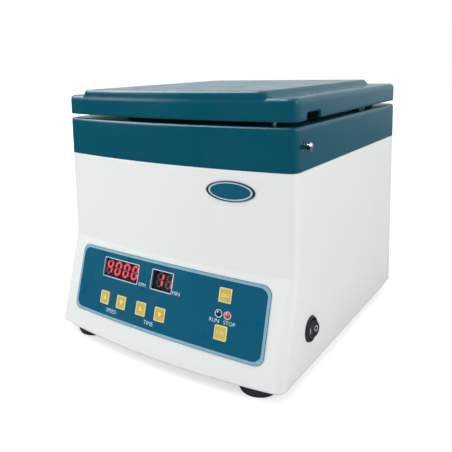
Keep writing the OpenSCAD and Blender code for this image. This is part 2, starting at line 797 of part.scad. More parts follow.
module latch_rod() {
    color("#c4c8cc") translate([0, latch_y, rod_z]) {
        knuckle(rod_tip + 1, head_x + 1, rod_r);
        translate([rod_tip, 0, 0]) rotate([0, 90, 0])
            cylinder(r1 = rod_r - 1, r2 = rod_r, h = 1, $fn = round_fn);
    }
}

// Mushroom head of the latch rod, domed on a radius of 4 mm more than its height
module latch_knob() {
    dome = sqrt(knob_r * knob_r + 16) - 4;
    color("#d8dadd") translate([head_x + 1, latch_y, rod_z]) rotate([0, 90, 0]) rotate_extrude($fn = fine) {
        square([knob_r, knob_len - dome]);
        intersection() {
            translate([0, knob_len - dome - 4]) circle(dome + 3.96, $fn = fine);
            translate([0, knob_len - dome - 0.5]) square([knob_r, 6]);
        }
    }
}

module latch_guide() {
    long = body_w / 2 - wall - slip - guide_in;
    color("#3c4248") difference() {
        translate([guide_in, latch_y - guide_half, rod_z - guide_half])
            cube([long, 2 * guide_half, latch_drop + guide_half - deck_t]);
        translate([0, latch_y, rod_z]) knuckle(guide_in - 1, body_w / 2, rod_r + 0.05);
    }
}

module lid_switch() {
    side_x = striker_x - striker_t / 2;
    color("#23262a") translate([side_x - 10, latch_y - 10, deck_z - deck_t - 14]) {
        cube([6.4, 20, 14]);
        translate([3, 13, -4]) cube([1.2, 3, 5]);
        translate([6.2, 4, 4]) cube([1.2, 3, 3]);
        translate([7, 2, 5.5]) rotate([-90, 0, 0]) cylinder(r = 2.2, h = 8, $fn = 32);
    }
}

// Overlay film on the bowed front, open at the windows, keys and lamps
module panel_overlay() {
    color("#0b5c7c") difference() {
        panel_frame() intersection() {
            translate([0, 0, -panel_bow_r]) rotate([90, 0, 0]) difference() {
                cylinder(r = panel_bow_r + panel_t, h = 2 * panel_h, center = true, $fn = 720);
                cylinder(r = panel_bow_r, h = 3 * panel_h, center = true, $fn = 720);
            }
            translate([panel_x, 0, -20]) linear_extrude(30) round_rect(panel_w, panel_h, panel_r);
        }
        on_panel(speed_x, window_v) window_cut(speed_w);
        on_panel(time_x, window_v) window_cut(time_w);
        for (k = key_spots) on_panel(k[0], k[1])
            cube([key_w + 2 * slip, key_h + 2 * slip, 4 * wall], center = true);
        for (l = lamp_spots) on_panel(l[0], l[1])
            cylinder(r = lamp_r + slip, h = 4 * wall, center = true, $fn = 32);
    }
}

module window(w) {
    translate([0, 0, -window_t]) linear_extrude(window_t + panel_t) round_rect(w, window_h, 0.6);
}

module speed_window() {
    color("#3a1c22") on_panel(speed_x, window_v) window(speed_w);
}

module time_window() {
    color("#3a1c22") on_panel(time_x, window_v) window(time_w);
}

// Block of a display module, or the pocket for it behind a window, g larger all round
module display(x, w, g) {
    panel_frame() translate([x - w / 2 - g, window_v - module_h / 2 - g, -board_depth])
        cube([w + 2 * g, module_h + 2 * g, board_depth - module_front + g]);
}

module speed_display() {
    color("#2b2326") display(speed_x, module_w, 0);
}

module time_display() {
    color("#2b2326") display(time_x, module_w2, 0);
}

// Key: cap, flange behind the wall and stem to its switch
module key(i) {
    x = key_spots[i][0];
    stem_end = board_depth - tact_h - key_travel - stem_slack - sag(x);
    color("#ddbb33") on_panel(x, key_spots[i][1]) {
        translate([0, 0, -wall - 1]) linear_extrude(wall + 1 + panel_t + key_proud - 0.4)
            round_rect(key_w, key_h, 1.2);
        translate([0, 0, panel_t + key_proud - 0.41]) linear_extrude(0.41)
            round_rect(key_w - 0.8, key_h - 0.8, 1);
        translate([0, 0, -wall - slip - 1.2]) linear_extrude(1.2) round_rect(key_w + 2.4, key_h + 2.4, 1.2);
        translate([0, 0, -stem_end]) cylinder(r = stem_r, h = stem_end - wall, $fn = 32);
    }
}

module key_switches() {
    color("#4a4c50") panel_frame() for (k = key_spots) translate([k[0], k[1], -board_depth]) {
        translate([-3, -3, 0]) cube([6, 6, 3.8]);
        cylinder(r = 1.7, h = tact_h, $fn = 32);
    }
}

module status_lamps() {
    color("#d03040") for (l = lamp_spots) on_panel(l[0], l[1]) {
        translate([0, 0, -board_depth + sag(l[0]) + 0.3])
            cylinder(r = lamp_r - 0.4, h = board_depth - sag(l[0]), $fn = 32);
        translate([0, 0, -4]) cylinder(r = lamp_r, h = 4 + panel_t, $fn = 32);
        translate([0, 0, panel_t - 0.6]) intersection() {
            sphere(r = lamp_r, $fn = 32);
            cylinder(r = lamp_r, h = 2 * lamp_r, $fn = 32);
        }
    }
}

module control_board() {
    color("#2f6b46") panel_frame() translate([0, 0, -board_depth - board_t]) {
        linear_extrude(board_t) round_rect(board_w, board_h, 2);
        translate([-50, -20, -3]) cube([26, 10, 3.5]);
        translate([10, -10, -9]) cube([30, 8, 9.5]);
        translate([-10, 8, -4]) cube([12, 12, 4.5]);
    }
}

// Puts children on the right side at the switch, Z outward
module switch_place() {
    translate([body_w / 2, switch_y, base_z + switch_z]) rotate([0, 90, 0]) children();
}

module switch_bezel() {
    depth = 16;
    color("#24282c") switch_place() difference() {
        union() {
            cylinder(r1 = bezel_r, r2 = bezel_r - 1, h = bezel_t, $fn = fine);
            translate([0, 0, -depth]) cylinder(r = bezel_r - 1.7, h = depth + 1, $fn = fine);
            for (y = [-5, 5]) translate([-3, y - 0.4, -depth - 8]) cube([6, 0.8, 9]);
        }
        translate([0, 0, bezel_t - 7]) cylinder(r = rocker_pocket, h = 10, $fn = fine);
        translate([0, 0, bezel_t - 2.4]) rotate([0, 90, 0])
            cylinder(r = 1.05, h = 40, center = true, $fn = 32);
    }
}

// Round rocker at rest with its rear half proud, on two short pins
module switch_rocker() {
    color("#1c1f22") translate([pivot_x, switch_y, base_z + switch_z]) rotate([0, 0, -rocker_tilt]) {
        intersection() {
            rotate([0, 90, 0]) cylinder(r = rocker_half, h = 20, center = true, $fn = fine);
            linear_extrude(3 * rocker_half, center = true)
                polygon([[-3, -5], [4.2, -8], [3, 0], [4.2, 8], [-3, 5]]);
        }
        cylinder(r = 1, h = 2 * rocker_pocket + 0.6, center = true, $fn = 32);
    }
}

// Mains inlet: flange, body, socket and three blades
module power_inlet() {
    color("#24282c") translate([inlet_x, rear_y, base_z + inlet_z]) difference() {
        union() {
            rotate([-90, 0, 0]) linear_extrude(2.5) round_rect(inlet_w + 23, inlet_h + 3, 6);
            translate([-inlet_w / 2, -22, -inlet_h / 2]) cube([inlet_w, 23, inlet_h]);
        }
        difference() {
            translate([-12, -16, -8]) cube([24, 20, 16]);
            for (x = [-7, 0, 7]) translate([x - 1, -17, -2.5]) cube([2, 11, 5]);
        }
        for (x = [-20, 20]) translate([x, 0, 0]) rotate([-90, 0, 0])
            cylinder(r = 1.7, h = 8, center = true, $fn = 32);
    }
}

module fuse_place() {
    translate([fuse_x, rear_y, base_z + inlet_z]) rotate([-90, 0, 0]) children();
}

module fuse_holder() {
    color("#24282c") fuse_place() {
        translate([0, 0, 1 - fuse_len]) cylinder(r = fuse_r, h = fuse_len, $fn = round_fn);
        cylinder(r = fuse_r + 2, h = 2, $fn = round_fn);
        translate([0, 0, 2 - eps]) cylinder(r1 = fuse_r + 0.4, r2 = fuse_r - 0.4, h = 6, $fn = round_fn);
    }
}

// Transformer on the base plate: foot, core and winding
module power_supply() {
    foot_t = 3;
    core_w = supply_w - 20;
    core_d = supply_d - 8;
    coil_w = supply_w - 38;
    coil_d = supply_d - 4;
    color("#6a4a32") translate([supply_w / 2, rear_y - wall - 12 - supply_d / 2, plate_top]) {
        translate([-supply_w / 2, -supply_d / 2, 0]) cube([supply_w, supply_d, foot_t]);
        translate([-core_w / 2, -core_d / 2, foot_t - eps]) cube([core_w, core_d, supply_h - foot_t]);
        translate([-coil_w / 2, -coil_d / 2, foot_t + 5]) cube([coil_w, coil_d, supply_h - foot_t - 10]);
    }
}

housing();
base_plate();
rubber_feet();
collar();
chamber_bowl();
support_pillars();
rubber_dampers();
mount_plate();
motor_can();
motor_end_cap();
motor_flange();
motor_magnets();
motor_armature();
upper_bearing();
lower_bearing();
motor_shaft();
rotor_head();
tube_sleeve(0);  // tube_sleeve_1
tube_sleeve(1);  // tube_sleeve_2
tube_sleeve(2);  // tube_sleeve_3
tube_sleeve(3);  // tube_sleeve_4
tube_sleeve(4);  // tube_sleeve_5
tube_sleeve(5);  // tube_sleeve_6
rotor_nut();
lid_shell();
lid_liner();
lid_seal();
lid_pads();
lid_striker();
hinge_fixed_leaves();
hinge_moving_leaves();
hinge_pins();
latch_rod();
latch_knob();
latch_guide();
lid_switch();
panel_overlay();
speed_window();
time_window();
speed_display();
time_display();
key(0);  // key_speed_up
key(1);  // key_speed_down
key(2);  // key_time_up
key(3);  // key_time_down
key(4);  // key_on
key(5);  // key_off
status_lamps();
key_switches();
control_board();
switch_bezel();
switch_rocker();
power_inlet();
fuse_holder();
power_supply();
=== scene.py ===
import json
import math

import bmesh
import bpy
from mathutils import Matrix, Vector

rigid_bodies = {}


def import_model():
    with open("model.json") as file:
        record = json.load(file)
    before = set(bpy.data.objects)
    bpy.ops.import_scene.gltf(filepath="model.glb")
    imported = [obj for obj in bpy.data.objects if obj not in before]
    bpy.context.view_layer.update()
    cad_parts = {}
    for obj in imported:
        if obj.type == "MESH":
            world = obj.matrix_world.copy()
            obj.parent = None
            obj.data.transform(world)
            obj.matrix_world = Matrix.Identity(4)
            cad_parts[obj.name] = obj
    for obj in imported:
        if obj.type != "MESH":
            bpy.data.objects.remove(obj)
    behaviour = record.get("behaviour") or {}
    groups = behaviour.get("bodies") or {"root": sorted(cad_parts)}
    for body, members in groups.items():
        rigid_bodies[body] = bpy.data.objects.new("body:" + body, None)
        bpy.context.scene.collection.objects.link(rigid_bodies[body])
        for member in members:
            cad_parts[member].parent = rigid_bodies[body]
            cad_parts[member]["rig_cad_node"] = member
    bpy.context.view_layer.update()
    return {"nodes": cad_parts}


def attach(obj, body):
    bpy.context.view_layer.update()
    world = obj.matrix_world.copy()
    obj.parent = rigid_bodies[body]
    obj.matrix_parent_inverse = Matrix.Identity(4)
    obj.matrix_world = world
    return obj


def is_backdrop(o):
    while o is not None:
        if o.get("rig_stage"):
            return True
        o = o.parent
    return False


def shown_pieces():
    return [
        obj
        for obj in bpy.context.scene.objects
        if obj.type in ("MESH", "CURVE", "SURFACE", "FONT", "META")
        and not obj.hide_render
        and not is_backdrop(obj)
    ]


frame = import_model()
nodes = frame["nodes"]
mm = 0.001

# Camera, light and floor
# The camera stands a little above the lid, to the right of the front, as a product photographer
# sets it for a bench instrument: a long lens, a white table and large soft lamps on both sides.
azimuth, elevation, roll = math.radians(36.55), math.radians(7.84), math.radians(-1.58)
level = math.cos(elevation)
look = Vector((-math.sin(azimuth) * level, math.cos(azimuth) * level, -math.sin(elevation)))
level_right = Vector((math.cos(azimuth), math.sin(azimuth), 0))
level_up = level_right.cross(look)
right = level_right * math.cos(roll) + level_up * math.sin(roll)
up = level_up * math.cos(roll) - level_right * math.sin(roll)
distance, aside, over = 624.84, 69.81, 45.37
eye = Vector((0, 0, 142)) - look * distance - right * aside + up * over
# The photograph's width, focal length and optical centre in pixels.
photo_w, photo_focal, photo_centre = 452, 555.05, (179.63, 141.29)
camera = bpy.data.objects.new("photo_camera", bpy.data.cameras.new("photo_camera"))
camera.data.sensor_width = 36
camera.data.lens = photo_focal / photo_w * 36
camera.data.shift_x = 0.5 - photo_centre[0] / photo_w
camera.data.shift_y = photo_centre[1] / photo_w - 0.5
camera.data.clip_start = 0.05
camera.data.clip_end = 20
camera.matrix_world = Matrix((
    (right.x, up.x, -look.x, eye.x * mm),
    (right.y, up.y, -look.y, eye.y * mm),
    (right.z, up.z, -look.z, eye.z * mm),
    (0, 0, 0, 1)))
bpy.context.scene.collection.objects.link(camera)
bpy.context.scene.camera = camera
bpy.context.scene.view_settings.view_transform = "Standard"


def lamp(name, place, aim, size, power):
    """A soft square lamp at a place in metres, turned to a point."""
    made = bpy.data.objects.new(name, bpy.data.lights.new(name, "AREA"))
    made.data.size = size
    made.data.energy = power
    made.location = place
    made.rotation_euler = (Vector(aim) - Vector(place)).to_track_quat("-Z", "Y").to_euler()
    bpy.context.scene.collection.objects.link(made)


lamp("lamp_above", (-0.2, -0.3, 1.6), (0, 0, 0.1), 1.6, 11)
lamp("lamp_left", (-1.3, -1.1, 0.9), (0, 0, 0.1), 0.9, 8)
lamp("lamp_right", (1.5, 0.2, 0.8), (0, 0, 0.12), 1.0, 7)



def ranged(tree, value, limits, smooth=False):
    """The value, carried from the first two limits to the last two."""
    made = tree.nodes.new("ShaderNodeMapRange")
    if smooth:
        made.interpolation_type = "SMOOTHSTEP"
    for k, limit in zip(("From Min", "From Max", "To Min", "To Max"), limits):
        made.inputs[k].default_value = limit
    tree.links.new(value, made.inputs["Value"])
    return made.outputs[0]


def worked(tree, operation, *values):
    """The result of one operation on sockets and numbers."""
    made = tree.nodes.new("ShaderNodeMath")
    made.operation = operation
    for k, value in enumerate(values):
        if isinstance(value, (int, float)):
            made.inputs[k].default_value = value
        else:
            tree.links.new(value, made.inputs[k])
    return made.outputs[0]


def glow_of(tree, colour, strength):
    """A background of the world, with a strength that is a number or a socket."""
    made = tree.nodes.new("ShaderNodeBackground")
    made.inputs["Color"].default_value = (*colour, 1)
    if isinstance(strength, float):
        made.inputs["Strength"].default_value = strength
    else:
        tree.links.new(strength, made.inputs["Strength"])
    return made.outputs[0]


def either(tree, factor, first, second):
    """The first shader where the factor is 0, and the second where it is 1."""
    made = tree.nodes.new("ShaderNodeMixShader")
    for k, value in enumerate((factor, first, second)):
        tree.links.new(value, made.inputs[k])
    return made.outputs[0]


world = bpy.data.worlds.new("studio")
bpy.context.scene.world = world
world.use_nodes = True
sky = world.node_tree
sky.nodes.clear()
paths = sky.nodes.new("ShaderNodeLightPath")
toward = sky.nodes.new("ShaderNodeTexCoord")
split = sky.nodes.new("ShaderNodeSeparateXYZ")
sky.links.new(toward.outputs["Generated"], split.inputs[0])
# Mirrored rays see a dark room in front of the machine and a bright wall behind it. A small soft
# box hangs where the front edges of the lid mirror it to the camera.
edge_normal = Vector((0, -1, 1)).normalized()
toward_box = sky.nodes.new("ShaderNodeVectorMath")
toward_box.operation = "DOT_PRODUCT"
toward_box.inputs[1].default_value = look.reflect(edge_normal)
sky.links.new(toward.outputs["Generated"], toward_box.inputs[0])
behind = ranged(sky, split.outputs["Y"], (-0.35, 0.5, 0.03, 0.74), smooth=True)
above = ranged(sky, split.outputs["Z"], (-0.14, 0.0, 0.29, 1.0), smooth=True)
box = ranged(sky, toward_box.outputs["Value"], (0.86, 0.96, 0.0, 11.0), smooth=True)
mirrored = glow_of(sky, (0.90, 0.98, 1.0), worked(sky, "ADD", worked(sky, "MULTIPLY", behind, above), box))
soft = glow_of(sky, (0.93, 0.96, 1.0), 0.62)
white = glow_of(sky, (1, 1, 1), 1.0)
seen = worked(sky, "MAXIMUM", paths.outputs["Is Camera Ray"], paths.outputs["Is Transmission Ray"])
sky_out = sky.nodes.new("ShaderNodeOutputWorld")
shown_sky = either(sky, seen, either(sky, paths.outputs["Is Glossy Ray"], soft, mirrored), white)
sky.links.new(shown_sky, sky_out.inputs["Surface"])

floor_mesh = bpy.data.meshes.new("table_top")
floor_mesh.from_pydata([(-4, -4, 0), (4, -4, 0), (4, 4, 0), (-4, 4, 0)], [], [(0, 1, 2, 3)])
floor = bpy.data.objects.new("table_top", floor_mesh)
bpy.context.scene.collection.objects.link(floor)
table_white = bpy.data.materials.new("table_white")
table_white.use_nodes = True
tree = table_white.node_tree
tree.nodes["Principled BSDF"].inputs["Base Color"].default_value = (0.86, 0.86, 0.86, 1)
tree.nodes["Principled BSDF"].inputs["Roughness"].default_value = 0.7
tree.nodes["Principled BSDF"].inputs["Specular IOR Level"].default_value = 0.2
lift = tree.nodes.new("ShaderNodeEmission")
lift.inputs["Color"].default_value = (1, 1, 1, 1)
floor_paths = tree.nodes.new("ShaderNodeLightPath")
lift_level = worked(tree, "MULTIPLY", floor_paths.outputs["Is Camera Ray"], 0.58)
tree.links.new(lift_level, lift.inputs["Strength"])
both = tree.nodes.new("ShaderNodeAddShader")
tree.links.new(tree.nodes["Principled BSDF"].outputs[0], both.inputs[0])
tree.links.new(lift.outputs[0], both.inputs[1])
tree.links.new(both.outputs[0], tree.nodes["Material Output"].inputs["Surface"])
floor_mesh.materials.append(table_white)
floor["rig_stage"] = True
floor.visible_glossy = False


# White lower case
# One thin-walled moulding in off-white ABS with a gloss finish: it shows the faint orange peel of
# a polished mould, and its colour is made a little greyer towards the foot.
def finish(name, base, rough, metallic=0.0, coat=0.0, specular=0.5):
    """A new material with its shader, its object coordinates and the constants of its finish."""
    made = bpy.data.materials.new(name)
    made.use_nodes = True
    shader = made.node_tree.nodes["Principled BSDF"]
    shader.inputs["Base Color"].default_value = (*base, 1)
    shader.inputs["Roughness"].default_value = rough
    shader.inputs["Metallic"].default_value = metallic
    shader.inputs["Coat Weight"].default_value = coat
    shader.inputs["Coat Roughness"].default_value = 0.08
    shader.inputs["Specular IOR Level"].default_value = specular
    made.node_tree.nodes.new("ShaderNodeTexCoord").name = "place"
    return made


def grain(made, scale, detail=3.0, stretch=(1, 1, 1)):
    """A noise pattern on a material's object coordinates."""
    tree = made.node_tree
    mapping = tree.nodes.new("ShaderNodeMapping")
    mapping.inputs["Scale"].default_value = stretch
    noise = tree.nodes.new("ShaderNodeTexNoise")
    noise.inputs["Scale"].default_value = scale
    noise.inputs["Detail"].default_value = detail
    tree.links.new(tree.nodes["place"].outputs["Object"], mapping.inputs["Vector"])
    tree.links.new(mapping.outputs[0], noise.inputs["Vector"])
    return noise.outputs["Fac"]


def spread(made, value, low, high):
    """The value, 0.3 to 0.7, as a number from low to high."""
    return ranged(made.node_tree, value, (0.3, 0.7, low, high))


def tint(made, value, first, second):
    """Sets the base colour between two colours by a pattern, and returns the colour."""
    tree = made.node_tree
    mixed = tree.nodes.new("ShaderNodeMix")
    mixed.data_type = "RGBA"
    mixed.inputs["A"].default_value = (*first, 1)
    mixed.inputs["B"].default_value = (*second, 1)
    tree.links.new(value, mixed.inputs["Factor"])
    tree.links.new(mixed.outputs["Result"], tree.nodes["Principled BSDF"].inputs["Base Color"])
    return mixed.outputs["Result"]


def relief(made, height, strength, distance, edge=0):
    """Sets a bump from a pattern, with its depth and the radius of the edges in millimetres."""
    tree = made.node_tree
    bump = tree.nodes.new("ShaderNodeBump")
    if edge:
        rounded = tree.nodes.new("ShaderNodeBevel")
        rounded.samples = 8
        rounded.inputs["Radius"].default_value = edge * mm
        tree.links.new(rounded.outputs[0], bump.inputs["Normal"])
    bump.inputs["Strength"].default_value = strength
    bump.inputs["Distance"].default_value = distance * mm
    tree.links.new(height, bump.inputs["Height"])
    tree.links.new(bump.outputs[0], tree.nodes["Principled BSDF"].inputs["Normal"])
    tree.links.new(bump.outputs[0], tree.nodes["Principled BSDF"].inputs["Coat Normal"])


def roughen(made, value, low, high):
    """Lets the roughness follow a pattern."""
    shader = made.node_tree.nodes["Principled BSDF"]
    made.node_tree.links.new(spread(made, value, low, high), shader.inputs["Roughness"])


def mottle(made, scale, first, second, detail=3.0):
    """Lets the base colour wander between two near colours, in patches of a size."""
    tint(made, spread(made, grain(made, scale, detail), 0, 1), first, second)


def dress(made, *names):
    """Gives a material to CAD nodes."""
    for n in names:
        nodes[n].data.materials.clear()
        nodes[n].data.materials.append(made)


white_moulding = finish("white_moulding", (0.88, 0.89, 0.86), 0.3)
roughen(white_moulding, grain(white_moulding, 18, 1), 0.28, 0.34)
relief(white_moulding, grain(white_moulding, 140, 0), 0.02, 0.05, 2.0)
tree = white_moulding.node_tree
height_split = tree.nodes.new("ShaderNodeSeparateXYZ")
tree.links.new(tree.nodes["place"].outputs["Object"], height_split.inputs[0])
# The colour is made greyer towards the foot, from 12 to 60 mm up.
foot_grey = ranged(tree, height_split.outputs["Z"], (0.012, 0.06, 0.35, 0.0))
cloudy = worked(tree, "MULTIPLY_ADD", grain(white_moulding, 9), 0.1, foot_grey)
tint(white_moulding, cloudy, (0.885, 0.895, 0.865), (0.80, 0.81, 0.785))
dress(white_moulding, "housing")


# Teal collar and lid
# Both are moulded in dark teal plastic with a high gloss. The collar drops over the white case
# with a lip inside it, and the lid is a single shell with a raised crown and a finger notch.
teal_moulding = finish("teal_moulding", (0.0, 0.086, 0.130), 0.2, specular=0.4)
mottle(teal_moulding, 14, (0.0, 0.084, 0.127), (0.0, 0.089, 0.133))
roughen(teal_moulding, grain(teal_moulding, 45), 0.16, 0.27)
relief(teal_moulding, grain(teal_moulding, 150, 0), 0.03, 0.05, 3.6)
dress(teal_moulding, "collar", "lid_shell")


# Base plate
# Pressed from 2 mm zinc-plated sheet, slotted for air, and held by screws into the case's bosses.
zinc = finish("zinc_plate", (0.52, 0.54, 0.55), 0.42, metallic=1.0)
spangle = zinc.node_tree.nodes.new("ShaderNodeTexVoronoi")
spangle.inputs["Scale"].default_value = 90
zinc.node_tree.links.new(zinc.node_tree.nodes["place"].outputs["Object"], spangle.inputs["Vector"])
tint(zinc, spread(zinc, spangle.outputs["Color"], 0, 1), (0.46, 0.48, 0.49), (0.60, 0.62, 0.63))
roughen(zinc, grain(zinc, 60), 0.34, 0.5)
relief(zinc, grain(zinc, 900, 1), 0.1, 0.03)
dress(zinc, "base_plate", "mount_plate", "support_pillars", "lid_striker")


# Rubber feet, dampers, seal and pads
# Black moulded rubber: matt, a little dusty, with the fine grain of a spark-eroded mould.
rubber = finish("black_rubber", (0.02, 0.024, 0.03), 0.75, specular=0.35)
mottle(rubber, 35, (0.014, 0.018, 0.024), (0.035, 0.04, 0.05))
roughen(rubber, grain(rubber, 120), 0.62, 0.85)
relief(rubber, grain(rubber, 1600, 2), 0.35, 0.08)
dress(rubber, "rubber_feet", "rubber_dampers", "lid_seal", "lid_pads")


# Screws
# Zinc-plated pan heads with a cross recess hold the base plate, the feet, the hinges, the bowl's
# flange, the lid's inner panel and the mains inlet. They are turned blanks with a pressed recess.
bright_screw = finish("bright_screw", (0.62, 0.63, 0.64), 0.28, metallic=1.0)
roughen(bright_screw, grain(bright_screw, 300), 0.2, 0.4)
relief(bright_screw, grain(bright_screw, 2500, 1), 0.1, 0.02)


def solid(name, points, faces, made=None):
    """A mesh object from points in millimetres."""
    mesh = bpy.data.meshes.new(name)
    mesh.from_pydata([Vector(p) * mm for p in points], [], faces)
    piece = bpy.data.objects.new(name, mesh)
    bpy.context.scene.collection.objects.link(piece)
    if made:
        mesh.materials.append(made)
    return piece


def turned(name, profile, turns=32, made=None):
    """A closed solid of revolution about Z from (radius, height) pairs, both ends on the axis."""
    ring = [(r * math.cos(a), r * math.sin(a), z) for r, z in profile[1:-1]
            for a in (math.tau * k / turns for k in range(turns))]
    points = [(0, 0, profile[0][1]), *ring, (0, 0, profile[-1][1])]
    rows = len(profile) - 2
    faces = [(0, 1 + (k + 1) % turns, 1 + k) for k in range(turns)]
    for i in range(rows - 1):
        low, high = 1 + i * turns, 1 + (i + 1) * turns
        for k in range(turns):
            j = (k + 1) % turns
            faces.append((low + k, low + j, high + j, high + k))
    tip, last = len(points) - 1, 1 + (rows - 1) * turns
    faces += [(tip, last + k, last + (k + 1) % turns) for k in range(turns)]
    return solid(name, points, faces, made)


def settle(piece):
    """Applies a piece's modifiers, and returns it as a plain mesh."""
    graph = bpy.context.evaluated_depsgraph_get()
    plain = bpy.data.meshes.new_from_object(piece.evaluated_get(graph))
    piece.modifiers.clear()
    piece.data = plain
    return piece


head_shape = [(0, -0.6), (2.2, -0.6), (2.75, 0), (2.8, 0.5), (2.6, 1.1), (2.0, 1.55), (1.0, 1.78), (0, 1.82)]
pan_head = turned("pan_head", head_shape)
square = ((-1, -1), (1, -1), (1, 1), (-1, 1))
block_faces = ((3, 2, 1, 0), (4, 5, 6, 7), (0, 1, 5, 4), (1, 2, 6, 5), (2, 3, 7, 6), (3, 0, 4, 7))
cross = [(x * a, y * b, z) for a, b in ((1.5, 0.28), (0.28, 1.5)) for z in (0.9, 3) for x, y in square]
recess = solid("recess", cross, [tuple(i + 8 * k for i in f) for k in (0, 1) for f in block_faces])
cut = pan_head.modifiers.new("recess", "BOOLEAN")
cut.operation = "DIFFERENCE"
cut.object = recess
cut.use_self = True
settle(pan_head)
bpy.data.objects.remove(recess)

screw_tree = bpy.data.node_groups.new("screws", "GeometryNodeTree")
screw_tree.interface.new_socket("Geometry", in_out="INPUT", socket_type="NodeSocketGeometry")
head_in = screw_tree.interface.new_socket("Head", in_out="INPUT", socket_type="NodeSocketObject")
size_in = screw_tree.interface.new_socket("Size", in_out="INPUT", socket_type="NodeSocketFloat")
seed_in = screw_tree.interface.new_socket("Seed", in_out="INPUT", socket_type="NodeSocketInt")
metal_in = screw_tree.interface.new_socket("Metal", in_out="INPUT", socket_type="NodeSocketMaterial")
screw_tree.interface.new_socket("Geometry", in_out="OUTPUT", socket_type="NodeSocketGeometry")
gate = screw_tree.nodes.new("NodeGroupInput")
out = screw_tree.nodes.new("NodeGroupOutput")
head_info = screw_tree.nodes.new("GeometryNodeObjectInfo")
axis_value = screw_tree.nodes.new("GeometryNodeInputNamedAttribute")
axis_value.data_type = "FLOAT_VECTOR"
axis_value.inputs["Name"].default_value = "axis"
aim = screw_tree.nodes.new("FunctionNodeAlignRotationToVector")
aim.axis = "Z"
chance = screw_tree.nodes.new("FunctionNodeRandomValue")
chance.data_type = "FLOAT"
chance.inputs[3].default_value = math.pi
spin = screw_tree.nodes.new("FunctionNodeAxisAngleToRotation")
spin.inputs["Axis"].default_value = (0, 0, 1)
roll_first = screw_tree.nodes.new("FunctionNodeRotateRotation")
roll_first.rotation_space = "LOCAL"
set_heads = screw_tree.nodes.new("GeometryNodeInstanceOnPoints")
real = screw_tree.nodes.new("GeometryNodeRealizeInstances")
coat_on = screw_tree.nodes.new("GeometryNodeSetMaterial")
wire = screw_tree.links.new
wire(gate.outputs["Geometry"], set_heads.inputs["Points"])
wire(gate.outputs["Head"], head_info.inputs["Object"])
wire(head_info.outputs["Geometry"], set_heads.inputs["Instance"])
wire(axis_value.outputs["Attribute"], aim.inputs["Vector"])
wire(gate.outputs["Seed"], chance.inputs["Seed"])
wire(chance.outputs[1], spin.inputs["Angle"])
wire(aim.outputs["Rotation"], roll_first.inputs["Rotation"])
wire(spin.outputs["Rotation"], roll_first.inputs["Rotate By"])
wire(roll_first.outputs["Rotation"], set_heads.inputs["Rotation"])
wire(gate.outputs["Size"], set_heads.inputs["Scale"])
wire(set_heads.outputs["Instances"], real.inputs[0])
wire(real.outputs[0], coat_on.inputs["Geometry"])
wire(gate.outputs["Metal"], coat_on.inputs["Material"])
wire(coat_on.outputs[0], out.inputs[0])


def screws(name, places, body, size=1.0, seed=1):
    """Screw heads at (point in millimetres, outward axis) places, on one body."""
    carrier = solid(name, [p for p, _ in places], [])
    axes = carrier.data.attributes.new("axis", "FLOAT_VECTOR", "POINT")
    axes.data.foreach_set("vector", [c for _, a in places for c in a])
    laid = carrier.modifiers.new("screws", "NODES")
    laid.node_group = screw_tree
    laid[head_in.identifier] = pan_head
    laid[size_in.identifier] = size
    laid[seed_in.identifier] = seed
    laid[metal_in.identifier] = bright_screw
    settle(carrier)
    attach(carrier, body)
    return carrier


axis_y = -6
flange_r = 112.6
hinge_x, leaf_y = 80, 136.5
inlet_x, inlet_z = -70, 52
base_down, flange_up, back_out = (0, 0, -1), (0, 0, 1), (0, 1, 0)
screws("base_screws", [((x, y, 12), base_down) for x in (-121, 121) for y in (-125, 118)],
       "case", 1.0, 3)
screws("foot_screws", [((x, y, 6), base_down) for x in (-97, 97) for y in (-142, 110)],
       "case", 1.2, 5)
screws("flange_screws", [((flange_r * math.cos(a), axis_y + flange_r * math.sin(a), 224.2), flange_up)
                         for a in (math.radians(30 + 60 * k) for k in range(6))], "case", 0.62, 7)
screws("panel_screws", [((x, y, 228.5), base_down) for x in (-108, 107.5) for y in (-112, 117)],
       "lid", 0.9, 9)
screws("hinge_case_screws", [((s * hinge_x + k, leaf_y, 213.5), back_out) for s in (-1, 1) for k in (-13, 13)],
       "case", 0.85, 11)
screws("hinge_lid_screws", [((s * hinge_x + k, leaf_y, 236), back_out) for s in (-1, 1) for k in (-13, 13)],
       "lid", 0.85, 13)
screws("inlet_screws", [((inlet_x + k, 137.5, inlet_z), back_out) for k in (-20, 20)], "case", 0.7, 15)


# Chamber bowl
# Spun from 1.2 mm stainless sheet, so the wheel's fine rings run round its axis. Its flange lies
# on the collar's deck and is screwed down.
def lathe_rings(made, centre, pitch):
    """Rings round an upright axis at a place in millimetres, as a turning tool leaves them."""
    tree = made.node_tree
    moved = tree.nodes.new("ShaderNodeMapping")
    moved.inputs["Location"].default_value = (-centre[0] * mm, -centre[1] * mm, 0)
    tree.links.new(tree.nodes["place"].outputs["Object"], moved.inputs["Vector"])
    split = tree.nodes.new("ShaderNodeSeparateXYZ")
    tree.links.new(moved.outputs[0], split.inputs[0])
    flat = tree.nodes.new("ShaderNodeCombineXYZ")
    tree.links.new(split.outputs["X"], flat.inputs["X"])
    tree.links.new(split.outputs["Y"], flat.inputs["Y"])
    reach = tree.nodes.new("ShaderNodeVectorMath")
    reach.operation = "LENGTH"
    tree.links.new(flat.outputs[0], reach.inputs[0])
    lines = tree.nodes.new("ShaderNodeCombineXYZ")
    tree.links.new(reach.outputs["Value"], lines.inputs["X"])
    tree.links.new(split.outputs["Z"], lines.inputs["Y"])
    noise = tree.nodes.new("ShaderNodeTexNoise")
    noise.noise_dimensions = "2D"
    noise.inputs["Scale"].default_value = 1000 / pitch
    noise.inputs["Detail"].default_value = 2
    tree.links.new(lines.outputs[0], noise.inputs["Vector"])
    return noise.outputs["Fac"]


